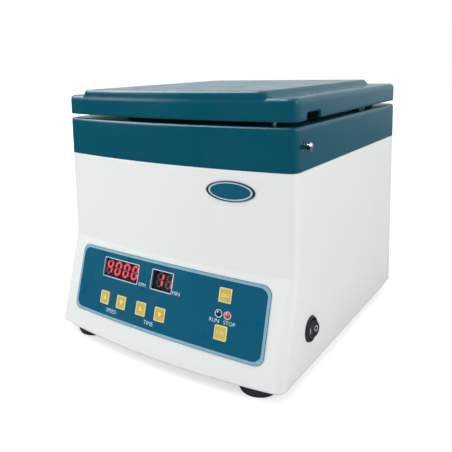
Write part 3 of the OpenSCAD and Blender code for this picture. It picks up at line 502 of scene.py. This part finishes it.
spun_steel = finish("spun_steel", (0.60, 0.61, 0.62), 0.3, metallic=1.0)
bowl_rings = lathe_rings(spun_steel, (0, axis_y), 0.9)
tint(spun_steel, spread(spun_steel, bowl_rings, 0, 1), (0.52, 0.53, 0.54), (0.66, 0.67, 0.68))
roughen(spun_steel, bowl_rings, 0.2, 0.42)
relief(spun_steel, bowl_rings, 0.2, 0.02)
dress(spun_steel, "chamber_bowl")


# Motor, shaft and bearings
# A permanent-magnet motor in a painted steel can between two cast ends. The shaft and bearings
# are ground steel; the armature is laminated iron with varnished copper.
ground_steel = finish("ground_steel", (0.66, 0.67, 0.68), 0.22, metallic=1.0)
shaft_rings = lathe_rings(ground_steel, (0, axis_y), 0.4)
roughen(ground_steel, shaft_rings, 0.14, 0.3)
tint(ground_steel, spread(ground_steel, shaft_rings, 0, 1), (0.60, 0.61, 0.62), (0.70, 0.71, 0.72))
dress(ground_steel, "motor_shaft", "upper_bearing", "lower_bearing", "hinge_pins", "latch_rod")
can_paint = finish("can_paint", (0.03, 0.034, 0.04), 0.4, coat=0.3)
mottle(can_paint, 50, (0.025, 0.029, 0.034), (0.05, 0.054, 0.06))
relief(can_paint, grain(can_paint, 700, 2), 0.25, 0.06)
dress(can_paint, "motor_can", "motor_magnets")
varnish = finish("copper_varnish", (0.42, 0.17, 0.07), 0.35, metallic=0.5, coat=0.4)
tint(varnish, spread(varnish, grain(varnish, 60, 3, (1, 1, 8)), 0, 1), (0.30, 0.11, 0.04), (0.55, 0.25, 0.10))
relief(varnish, grain(varnish, 500, 2, (1, 1, 4)), 0.4, 0.2)
dress(varnish, "motor_armature", "power_supply")


# Rotor
# The head is an aluminium casting, turned on its upper face and anodised grey. Six stainless
# sleeves hang in it with rolled rims; each has a rubber cushion for the glass.
cast_metal = finish("cast_metal", (0.40, 0.42, 0.44), 0.38, metallic=1.0)
head_rings = lathe_rings(cast_metal, (0, axis_y), 1.1)
tint(cast_metal, spread(cast_metal, head_rings, 0, 1), (0.34, 0.36, 0.38), (0.46, 0.48, 0.50))
roughen(cast_metal, grain(cast_metal, 80), 0.3, 0.5)
relief(cast_metal, head_rings, 0.2, 0.03)
dress(cast_metal, "rotor_head", "motor_end_cap", "motor_flange")
drawn_steel = finish("drawn_steel", (0.66, 0.67, 0.69), 0.24, metallic=1.0)
mottle(drawn_steel, 70, (0.58, 0.59, 0.61), (0.70, 0.71, 0.73))
roughen(drawn_steel, grain(drawn_steel, 220), 0.16, 0.34)
dress(drawn_steel, *["tube_sleeve_%d" % (i + 1) for i in range(6)])

tube_lean = math.radians(35)
mouth_r, mouth_z, sleeve_end = 40, 203, -90.8


def at_tube(i, p):
    """A point given about a tube's mouth, Z up the tube, in the machine's frame."""
    x = mouth_r + p[0] * math.cos(tube_lean) - p[2] * math.sin(tube_lean)
    z = mouth_z + p[0] * math.sin(tube_lean) + p[2] * math.cos(tube_lean)
    a = math.radians(60 * i + 30)
    return (x * math.cos(a) - p[1] * math.sin(a), axis_y + x * math.sin(a) + p[1] * math.cos(a), z)


def joined(name, parts):
    """Several plain pieces as one."""
    keep = parts[0]
    points, faces = [], []
    for p in parts:
        shift = len(points)
        points += [v.co.copy() for v in p.data.vertices]
        faces += [tuple(i + shift for i in f.vertices) for f in p.data.polygons]
    mesh = bpy.data.meshes.new(name)
    mesh.from_pydata(points, [], faces)
    for m in keep.data.materials:
        mesh.materials.append(m)
    for p in parts:
        bpy.data.objects.remove(p)
    whole = bpy.data.objects.new(name, mesh)
    bpy.context.scene.collection.objects.link(whole)
    return whole


cushion_shape = [(0, 3), (8.2, 3), (9.6, 5), (9.6, 6.5), (7, 6), (3, 5), (0, 4.6)]
cushions = []
for i in range(6):
    pad = turned("cushion", [(r, sleeve_end + z) for r, z in cushion_shape], 32, rubber)
    for v in pad.data.vertices:
        v.co = Vector(at_tube(i, v.co / mm)) * mm
    cushions.append(pad)
tube_cushions = joined("tube_cushions", cushions)
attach(tube_cushions, "rotor")


def letters(name, text, height, thick, made, place, spacing=1.0, body="case"):
    """Raised or printed characters, centred; place takes (across, up, out) in millimetres."""
    curve = bpy.data.curves.new(name, "FONT")
    curve.body = text
    curve.align_x = "CENTER"
    curve.align_y = "CENTER"
    curve.size = 1.0
    curve.space_character = spacing
    curve.extrude = 0.5
    curve.resolution_u = 3
    drawn = bpy.data.objects.new(name, curve)
    bpy.context.scene.collection.objects.link(drawn)
    bpy.context.view_layer.update()
    mesh = bpy.data.meshes.new_from_object(drawn.evaluated_get(bpy.context.evaluated_depsgraph_get()))
    bpy.data.objects.remove(drawn)
    low = min(v.co.y for v in mesh.vertices)
    high = max(v.co.y for v in mesh.vertices)
    left = min(v.co.x for v in mesh.vertices)
    far = max(v.co.x for v in mesh.vertices)
    scale = height / (high - low)
    for v in mesh.vertices:
        across, along = (v.co.x - (left + far) / 2) * scale, (v.co.y - (low + high) / 2) * scale
        v.co = Vector(place(across, along, (v.co.z + 0.5) * thick)) * mm
    mesh.materials.clear()
    mesh.materials.append(made)
    piece = bpy.data.objects.new(name, mesh)
    bpy.context.scene.collection.objects.link(piece)
    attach(piece, body)
    return piece


pale_print = finish("pale_print", (0.58, 0.74, 0.80), 0.45)
roughen(pale_print, grain(pale_print, 600), 0.35, 0.6)
mottle(pale_print, 900, (0.52, 0.68, 0.75), (0.64, 0.79, 0.85))


def on_dish(angle):
    """Maps a flat mark to the rotor's dish, between two sleeves."""
    def place(across, along, out):
        r = 51 + along * math.cos(tube_lean)
        z = mouth_z + (r - mouth_r) * math.tan(tube_lean)
        r, z = r - (out + 0.01) * math.sin(tube_lean), z + (out + 0.01) * math.cos(tube_lean)
        cos_a, sin_a = math.cos(angle), math.sin(angle)
        return (r * cos_a + across * sin_a, axis_y + r * sin_a - across * cos_a, z)
    return place


for i in range(6):
    letters("place_number_%d" % (i + 1), str(i + 1), 4.4, 0.06, pale_print, on_dish(math.radians(60 * i + 60)),
            body="rotor")

# The nut that holds the head down: black nylon on a steel insert, with ribs for the fingers.
black_nylon = finish("black_nylon", (0.02, 0.022, 0.026), 0.5)
mottle(black_nylon, 70, (0.015, 0.017, 0.02), (0.03, 0.033, 0.038))
relief(black_nylon, grain(black_nylon, 1100, 2), 0.3, 0.06)
dress(black_nylon, "rotor_nut", "latch_guide", "lid_switch", "key_switches")
rib_tree = bpy.data.node_groups.new("grip_ribs", "GeometryNodeTree")
rib_count = rib_tree.interface.new_socket("Count", in_out="INPUT", socket_type="NodeSocketInt")
rib_reach = rib_tree.interface.new_socket("Radius", in_out="INPUT", socket_type="NodeSocketFloat")
rib_height = rib_tree.interface.new_socket("Height", in_out="INPUT", socket_type="NodeSocketFloat")
rib_place = rib_tree.interface.new_socket("Place", in_out="INPUT", socket_type="NodeSocketVector")
rib_made = rib_tree.interface.new_socket("Material", in_out="INPUT", socket_type="NodeSocketMaterial")
rib_tree.interface.new_socket("Geometry", in_out="OUTPUT", socket_type="NodeSocketGeometry")
gate = rib_tree.nodes.new("NodeGroupInput")
out = rib_tree.nodes.new("NodeGroupOutput")
circle = rib_tree.nodes.new("GeometryNodeMeshCircle")
rib = rib_tree.nodes.new("GeometryNodeMeshCylinder")
rib.inputs["Vertices"].default_value = 8
rib.inputs["Radius"].default_value = 0.6 * mm
set_ribs = rib_tree.nodes.new("GeometryNodeInstanceOnPoints")
real = rib_tree.nodes.new("GeometryNodeRealizeInstances")
shift = rib_tree.nodes.new("GeometryNodeTransform")
coat_on = rib_tree.nodes.new("GeometryNodeSetMaterial")
wire = rib_tree.links.new
wire(gate.outputs["Count"], circle.inputs["Vertices"])
wire(gate.outputs["Radius"], circle.inputs["Radius"])
wire(gate.outputs["Height"], rib.inputs["Depth"])
wire(circle.outputs[0], set_ribs.inputs["Points"])
wire(rib.outputs["Mesh"], set_ribs.inputs["Instance"])
wire(set_ribs.outputs[0], shift.inputs["Geometry"])
wire(gate.outputs["Place"], shift.inputs["Translation"])
wire(shift.outputs[0], real.inputs[0])
wire(real.outputs[0], coat_on.inputs["Geometry"])
wire(gate.outputs["Material"], coat_on.inputs["Material"])
wire(coat_on.outputs[0], out.inputs[0])
nut_ribs = solid("nut_ribs", [(0, 0, 0)], [])
laid = nut_ribs.modifiers.new("ribs", "NODES")
laid.node_group = rib_tree
laid[rib_count.identifier] = 28
laid[rib_reach.identifier] = 8.6 * mm
laid[rib_height.identifier] = 11.2 * mm
laid[rib_place.identifier] = (0, axis_y * mm, 191.2 * mm)
laid[rib_made.identifier] = black_nylon
settle(nut_ribs)
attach(nut_ribs, "rotor")


# Lid's inner panel and hinges
# The panel is thermoformed black sheet with a leather-like grain, screwed to the lid's bosses.
# The hinges are folded from 1.5 mm steel and nickel-plated.
grained_sheet = finish("grained_sheet", (0.018, 0.018, 0.02), 0.6)
mottle(grained_sheet, 25, (0.013, 0.013, 0.015), (0.028, 0.027, 0.027))
relief(grained_sheet, grain(grained_sheet, 650, 4), 0.5, 0.15)
dress(grained_sheet, "lid_liner")
nickel = finish("nickel_plate", (0.62, 0.62, 0.60), 0.3, metallic=1.0)
roughen(nickel, grain(nickel, 160), 0.22, 0.42)
mottle(nickel, 40, (0.55, 0.55, 0.53), (0.68, 0.68, 0.66))
dress(nickel, "hinge_fixed_leaves", "hinge_moving_leaves")


# Latch knob
# A small turned mushroom head, chrome-plated, screwed on the end of the latch rod.
chrome = finish("chrome_plate", (0.66, 0.67, 0.68), 0.14, metallic=1.0)
roughen(chrome, grain(chrome, 300), 0.1, 0.2)
mottle(chrome, 120, (0.62, 0.63, 0.65), (0.70, 0.71, 0.72))
dress(chrome, "latch_knob")


# Control panel film
# A polycarbonate film, printed teal on its back with a light blue border, stuck on the sloping,
# bowed front. Its words and marks are printed, so they stand only a hair above it.
body_w, front_y, bow, crease_h, reach, base_z = 256, -135, 12, 87, 26, 12
panel_h = 50.8
slant = math.atan(reach / crease_h)
bow_r = (bow ** 2 + body_w ** 2 / 4) / (2 * bow)
slope_y = front_y - bow - (crease_h - panel_h) * math.tan(slant)
film = 0.6


def slope_point(a, b, c):
    """A point given across the sloping front, up it and out of it, in the machine's frame."""
    y = slope_y + b * math.sin(slant) - c * math.cos(slant)
    return (a, y, base_z + panel_h + b * math.cos(slant) + c * math.sin(slant))


def on_slope(x, v):
    """Maps (across, up, out) about a point of the panel to the bowed, sloping front."""
    def place(across, along, out):
        px = x + across
        root = math.sqrt(bow_r ** 2 - px ** 2)
        turn = math.atan(math.cos(slant) * px / root)
        a = px + (out + film) * math.sin(turn)
        c = -(bow_r - root) * math.cos(slant) + (out + film) * math.cos(turn)
        return slope_point(a, v + along, c)
    return place


def round_outline(w, h, r, step=5.0):
    """A rectangle with round corners as points, with even steps on its long sides."""
    x, y = w / 2 - r, h / 2 - r
    corners = ((x, y, 0), (-x, y, 90), (-x, -y, 180), (x, -y, 270))
    line = []
    for k, (cx, cy, a0) in enumerate(corners):
        angles = [math.radians(a0 + 15 * i) for i in range(7)]
        arc = [(cx + r * math.cos(a), cy + r * math.sin(a)) for a in angles]
        nx, ny, na = corners[(k + 1) % 4]
        start = (nx + r * math.cos(math.radians(na)), ny + r * math.sin(math.radians(na)))
        n = max(1, round(math.dist(arc[-1], start) / step))
        ex, ey = arc[-1]
        line += arc + [(ex + (start[0] - ex) * i / n, ey + (start[1] - ey) * i / n) for i in range(1, n)]
    return line


def band(name, outer, inner, low, high, made, place, body="case"):
    """A flat closed frame between two outlines with the same number of points."""
    n = len(outer)
    points = [place(x, y, h) for h in (low, high) for line in (outer, inner) for x, y in line]
    faces = []
    for i in range(n):
        j = (i + 1) % n
        faces += [(2 * n + i, 2 * n + j, 3 * n + j, 3 * n + i), (i, n + i, n + j, j),
                  (i, j, 2 * n + j, 2 * n + i), (n + i, 3 * n + i, 3 * n + j, n + j)]
    piece = solid(name, points, [tuple(reversed(f)) for f in faces], made)
    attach(piece, body)
    return piece


def edging(name, w, h, r, width, low, high, made, place, body="case", step=5.0):
    """A flat frame with round corners and one width all round."""
    outer = round_outline(w, h, r, step)
    kx, ky = (w - 2 * width) / w, (h - 2 * width) / h
    return band(name, outer, [(x * kx, y * ky) for x, y in outer], low, high, made, place, body)


film_teal = finish("film_teal", (0.0, 0.102, 0.184), 0.32, specular=0.25)
mottle(film_teal, 16, (0.0, 0.100, 0.181), (0.0, 0.106, 0.190))
roughen(film_teal, grain(film_teal, 50), 0.26, 0.4)
relief(film_teal, grain(film_teal, 400, 0), 0.03, 0.02)
dress(film_teal, "panel_overlay")
border_blue = finish("border_blue", (0.25, 0.45, 0.56), 0.36)
mottle(border_blue, 90, (0.23, 0.42, 0.53), (0.27, 0.48, 0.59))
edging("panel_border", 216.4, 64.8, 7.8, 2.5, -0.02, 0.05, border_blue, on_slope(1.5, 0))
window_black = finish("window_black", (0.02, 0.02, 0.022), 0.8)
mottle(window_black, 300, (0.015, 0.015, 0.017), (0.028, 0.028, 0.03))
window_v, window_h = 15.7, 17.4
speed_x, speed_w = -48.1, 45.7
for n, x, w in (("speed", speed_x, speed_w), ("time", 3.8, 23.5)):
    spot = on_slope(x, window_v)
    edging(n + "_window_gasket", w, window_h, 0.7, 0.7, -3.5, -2.25, window_black, spot)
    edging(n + "_window_frame", w + 1.5, window_h + 1.5, 1.0, 0.75, -0.02, 0.05, pale_print, spot)
words = {"rpm": (-18.2, 7.9, 3.3), "min": (21.3, 8.3, 3.3), "speed": (-52.6, -24.6, 3.6),
         "time": (-4.7, -24.2, 3.6), "run": (62.6, -5.0, 3.3), "stop": (76.8, -5.0, 3.3)}
for n, (x, v, h) in words.items():
    letters("word_" + n, n.upper(), h, 0.05, pale_print, on_slope(x, v))


# Windows and displays
# Smoked acrylic windows are glued in the film's cut-outs. Behind them are seven-segment modules:
# black faces with grey segments, of which the set ones glow red.
smoke = finish("smoked_acrylic", (0.012, 0.012, 0.016), 0.06, coat=0.0)
roughen(smoke, grain(smoke, 200), 0.04, 0.1)
smoke.node_tree.nodes["Principled BSDF"].inputs["Alpha"].default_value = 0.3
smoke.blend_method = "BLEND"
dress(smoke, "speed_window", "time_window")
module_black = finish("module_black", (0.07, 0.072, 0.085), 0.5)
mottle(module_black, 150, (0.064, 0.066, 0.078), (0.077, 0.079, 0.092))
dress(module_black, "speed_display", "time_display")
unlit = finish("segment_unlit", (0.46, 0.46, 0.46), 0.5)
mottle(unlit, 400, (0.43, 0.43, 0.435), (0.49, 0.485, 0.48))
lit = finish("segment_lit", (0.9, 0.03, 0.06), 0.4)
lit.node_tree.nodes["Principled BSDF"].inputs["Emission Color"].default_value = (1.0, 0.085, 0.125, 1)
lit.node_tree.nodes["Principled BSDF"].inputs["Emission Strength"].default_value = 1.8
mottle(lit, 300, (0.85, 0.02, 0.05), (1.0, 0.05, 0.09))

digit_w, digit_h, bar = 8.0, 14.2, 2.3
window_root = math.sqrt(bow_r ** 2 - speed_x ** 2)
module_depth = (bow_r - window_root + speed_w / 2 * -speed_x / window_root) * math.cos(slant) + 2.0
segments = {
    "a": ((-1, 1), (1, 1)), "b": ((1, 1), (1, 0)), "c": ((1, 0), (1, -1)), "d": ((-1, -1), (1, -1)),
    "e": ((-1, 0), (-1, -1)), "f": ((-1, 1), (-1, 0)), "g": ((-1, 0), (1, 0))}
shown = {"0": "abcdef", "1": "bc", "4": "bcfg"}


def on_module(x, v):
    """Maps a mark to the flat face of a display module."""
    def place(across, along, out):
        return slope_point(x + across + along * 0.14, v + along, out - module_depth)
    return place


def segment(key, place):
    """One bar of a digit, pointed at both ends."""
    (x0, y0), (x1, y1) = segments[key]
    hx, hy = digit_w / 2 - bar / 2, digit_h / 2 - bar / 2
    a, b = Vector((x0 * hx, y0 * hy)), Vector((x1 * hx, y1 * hy))
    along = (b - a).normalized()
    side = Vector((-along.y, along.x)) * bar / 2
    a, b = a + along * 0.22, b - along * 0.22
    near, far = a + along * bar / 2, b - along * bar / 2
    ring = [a, near + side, far + side, b, far - side, near - side]
    points = [place(p.x, p.y, h) for h in (-0.02, 0.08) for p in ring]
    sides = [(i, 6 + i, 6 + (i + 1) % 6, (i + 1) % 6) for i in range(6)]
    return points, [(0, 1, 2, 3, 4, 5), (11, 10, 9, 8, 7, 6)] + sides


for n, text, x, pitch in (("speed", "4000", -49.7, 10.8), ("time", "11", 3.2, 10.8)):
    for name, made, want in ((n + "_lit_segments", lit, True), (n + "_grey_segments", unlit, False)):
        points, faces = [], []
        for k, digit in enumerate(text):
            place = on_module(x + (k - (len(text) - 1) / 2) * pitch, window_v)
            for key in segments:
                if (key in shown[digit]) == want:
                    p, f = segment(key, place)
                    faces += [tuple(i + len(points) for i in face) for face in f]
                    points += p
        digits = solid(name, points, faces, made)
        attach(digits, "case")


# Keys
# Six moulded yellow keys stand just out of the film, each with a pale printed edge and its mark:
# arrows for speed and time, words for start and stop. Each mark rides on its own key.
yellow_key = finish("yellow_key", (0.70, 0.47, 0.035), 0.38, coat=0.15)
mottle(yellow_key, 110, (0.66, 0.43, 0.028), (0.75, 0.52, 0.05))
relief(yellow_key, grain(yellow_key, 1200, 2), 0.2, 0.03)
key_print = finish("key_print", (0.78, 0.76, 0.58), 0.45)
mottle(key_print, 500, (0.72, 0.70, 0.52), (0.84, 0.82, 0.66))
key_w, key_h, key_proud = 11.7, 12.3, 0.5
key_spots = {"speed_up": (-63.6, -13.7), "speed_down": (-41.0, -13.7), "time_up": (-15.6, -13.7),
             "time_down": (6.9, -13.7), "on": (70, 17.3), "off": (70, -14.1)}
for n, (x, v) in key_spots.items():
    dress(yellow_key, "key_" + n)
    top = on_slope(x, v)
    lifted = lambda a, b, c, top=top: top(a, b, c + key_proud)
    body = "key_" + n + "_body"
    edging("key_edge_" + n, key_w, key_h, 1.1, 0.75, -0.42, 0.03, key_print, lifted, body, 3)
    if n in ("on", "off"):
        letters("key_word_" + n, n.upper(), 3.2, 0.04, key_print, lifted, body=body)
    else:
        s = 1 if n.endswith("up") else -1
        tri = [(0, 2.3 * s), (-2.1, -1.7 * s), (2.1, -1.7 * s)]
        if s < 0:
            tri.reverse()
        arrow = solid("key_arrow_" + n, [lifted(a, b, c) for c in (-0.01, 0.04) for a, b in tri],
                      [(2, 1, 0), (3, 4, 5), (0, 1, 4, 3), (1, 2, 5, 4), (2, 0, 3, 5)], key_print)
        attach(arrow, body)


# Status lamps
# Two 5 mm lamps in pale printed rings. The stop lamp glows red; the run lamp is dark.
lamp_lens = finish("lamp_lens", (0.02, 0.03, 0.03), 0.12, coat=0.6)
tree = lamp_lens.node_tree
lens_split = tree.nodes.new("ShaderNodeSeparateXYZ")
tree.links.new(tree.nodes["place"].outputs["Object"], lens_split.inputs[0])
right_one = worked(tree, "GREATER_THAN", lens_split.outputs["X"], 0.070)
tint(lamp_lens, right_one, (0.015, 0.028, 0.03), (0.62, 0.02, 0.04))
glow = tree.nodes.new("ShaderNodeMix")
glow.data_type = "RGBA"
glow.inputs["A"].default_value = (0, 0, 0, 1)
glow.inputs["B"].default_value = (0.9, 0.04, 0.08, 1)
tree.links.new(right_one, glow.inputs["Factor"])
tree.links.new(glow.outputs["Result"], tree.nodes["Principled BSDF"].inputs["Emission Color"])
tree.nodes["Principled BSDF"].inputs["Emission Strength"].default_value = 0.3
roughen(lamp_lens, grain(lamp_lens, 500), 0.08, 0.2)
dress(lamp_lens, "status_lamps")


def oval(across, along, steps):
    """The points of an ellipse with two half widths."""
    return [(across * math.cos(a), along * math.sin(a)) for a in (math.tau * k / steps for k in range(steps))]


for n, x in (("run", 65.9), ("stop", 74.2)):
    band("lamp_ring_" + n, oval(3.5, 3.5, 40), oval(2.75, 2.75, 40), -0.02, 0.12, pale_print, on_slope(x, 1.2))


# Blank oval plate
# A thin pressed plate on the upper front, left bare: a teal field in a pale ring and a teal rim.
def on_front(x, z):
    """Maps (across, up, out) to the bowed upper front of the case."""
    def place(across, along, out):
        px = x + across
        turn = math.asin(px / bow_r)
        y = front_y - bow + bow_r * (1 - math.cos(turn)) - out * math.cos(turn)
        return (px + out * math.sin(turn), y, z + along)
    return place


plate_face = finish("plate_face", (0.70, 0.74, 0.76), 0.3, coat=0.3)
mottle(plate_face, 120, (0.66, 0.70, 0.72), (0.74, 0.78, 0.80))
roughen(plate_face, grain(plate_face, 300), 0.2, 0.4)
plate_place = on_front(72, 168)
plate_a, plate_b, steps = 22.5, 9, 72


def low_disc(name, rings, out_by, made):
    """A closed low disc on the front, from rings of points with their heights, outermost last."""
    n = len(rings[0][0])
    points = [plate_place(0, 0, out_by)] + [plate_place(x, y, h) for line, h in rings for x, y in line]
    faces = [(0, 1 + k, 1 + (k + 1) % n) for k in range(n)]
    for i in range(len(rings) - 1):
        near, far = 1 + i * n, 1 + (i + 1) * n
        faces += [(near + k, far + k, far + (k + 1) % n, near + (k + 1) % n) for k in range(n)]
    faces.append(tuple(len(points) - 1 - k for k in range(n)))
    disc = solid(name, points, faces, made)
    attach(disc, "case")


plate_rings = ((0.25, 0.62), (0.5, 0.62), (0.72, 0.60), (0.88, 0.56), (0.9, 0.5), (0.9, 0.02))
low_disc("oval_plate", [(oval(k * plate_a, k * plate_b, steps), h) for k, h in plate_rings], 0.62,
         plate_face)
rim_outer = oval(plate_a, plate_b, steps)
band("oval_rim", rim_outer, [(0.9 * x, 0.86 * y) for x, y in rim_outer], 0.0, 0.75, teal_moulding, plate_place)
field_rings = ((0.35, 0.7), (0.7, 0.7), (1, 0.7), (1, 0.4))
low_disc("oval_field", [(oval(k * 0.83 * plate_a, k * 0.76 * plate_b, steps), h) for k, h in field_rings], 0.7,
         film_teal)


# Rocker switch, mains inlet and fuse holder
# Black nylon parts pressed or screwed into the case. The rocker has its two marks in white.
dress(black_nylon, "switch_bezel", "fuse_holder")
rocker_black = finish("rocker_black", (0.016, 0.017, 0.02), 0.25, coat=0.3)
mottle(rocker_black, 200, (0.012, 0.013, 0.016), (0.024, 0.026, 0.03))
roughen(rocker_black, grain(rocker_black, 260), 0.18, 0.34)
dress(rocker_black, "switch_rocker")
socket_black = finish("socket_black", (0.02, 0.022, 0.026), 0.45)
tree = socket_black.node_tree
blade_split = tree.nodes.new("ShaderNodeSeparateXYZ")
blade_move = tree.nodes.new("ShaderNodeMapping")
blade_move.inputs["Location"].default_value = (-inlet_x * mm, -0.1295, -inlet_z * mm)
tree.links.new(tree.nodes["place"].outputs["Object"], blade_move.inputs["Vector"])
blade_size = tree.nodes.new("ShaderNodeVectorMath")
blade_size.operation = "ABSOLUTE"
tree.links.new(blade_move.outputs[0], blade_size.inputs[0])
tree.links.new(blade_size.outputs[0], blade_split.inputs[0])
near = [worked(tree, "LESS_THAN", blade_split.outputs[channel], limit)
        for channel, limit in (("X", 0.0085), ("Y", 0.0103), ("Z", 0.0028))]
all_three = worked(tree, "MINIMUM", worked(tree, "MINIMUM", near[0], near[1]), near[2])
tint(socket_black, all_three, (0.02, 0.022, 0.026), (0.72, 0.66, 0.48))
tree.links.new(all_three, tree.nodes["Principled BSDF"].inputs["Metallic"])
relief(socket_black, grain(socket_black, 1100, 2), 0.25, 0.05)
dress(socket_black, "power_inlet")

rocker_white = finish("rocker_white", (0.75, 0.75, 0.74), 0.4)
mottle(rocker_white, 600, (0.68, 0.68, 0.67), (0.82, 0.82, 0.81))
pivot = (129.8 - 2.4, -106, 46)


def on_rocker(side):
    """Maps a mark to the front or rear slope of the rocker, which rests tilted by 12 degrees."""
    edge = Vector((4.2, 8 * side))
    middle = Vector((3, 0))
    run = (edge - middle).normalized() * side
    normal = Vector((run.y, -run.x))
    centre = (edge + middle) / 2
    turn = Matrix.Rotation(math.radians(-12), 2)

    def place(across, along, out):
        p = turn @ (centre + run * across + normal * (out + 0.01))
        return (pivot[0] + p.x, pivot[1] + p.y, pivot[2] + along)
    return place


band("rocker_mark_off", oval(2.0, 2.6, 32), oval(1.5, 2.1, 32), -0.02, 0.08, rocker_white, on_rocker(1),
     "rocker")
mark = on_rocker(-1)
dash = [(-0.35, -2.4), (0.35, -2.4), (0.35, 2.4), (-0.35, 2.4)]
dash_points = [mark(a, b, c) for c in (-0.02, 0.08) for a, b in dash]
rocker_mark_on = solid("rocker_mark_on", dash_points, block_faces, rocker_white)
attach(rocker_mark_on, "rocker")


# Control board
# Glass-fibre laminate with a green solder mask, on the case's inner posts.
solder_mask = finish("solder_mask", (0.01, 0.12, 0.06), 0.3, coat=0.4)
mottle(solder_mask, 260, (0.006, 0.10, 0.045), (0.02, 0.15, 0.08), 4)
relief(solder_mask, grain(solder_mask, 700, 1), 0.3, 0.05)
dress(solder_mask, "control_board")

# Closing: every new piece is welded and turned outward, and the CAD nodes stay as they came.
bpy.data.objects.remove(pan_head)
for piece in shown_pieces():
    if "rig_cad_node" not in piece:
        outward = bmesh.new()
        outward.from_mesh(piece.data)
        bmesh.ops.remove_doubles(outward, verts=outward.verts, dist=1e-7)
        bmesh.ops.recalc_face_normals(outward, faces=outward.faces)
        outward.to_mesh(piece.data)
        outward.free()
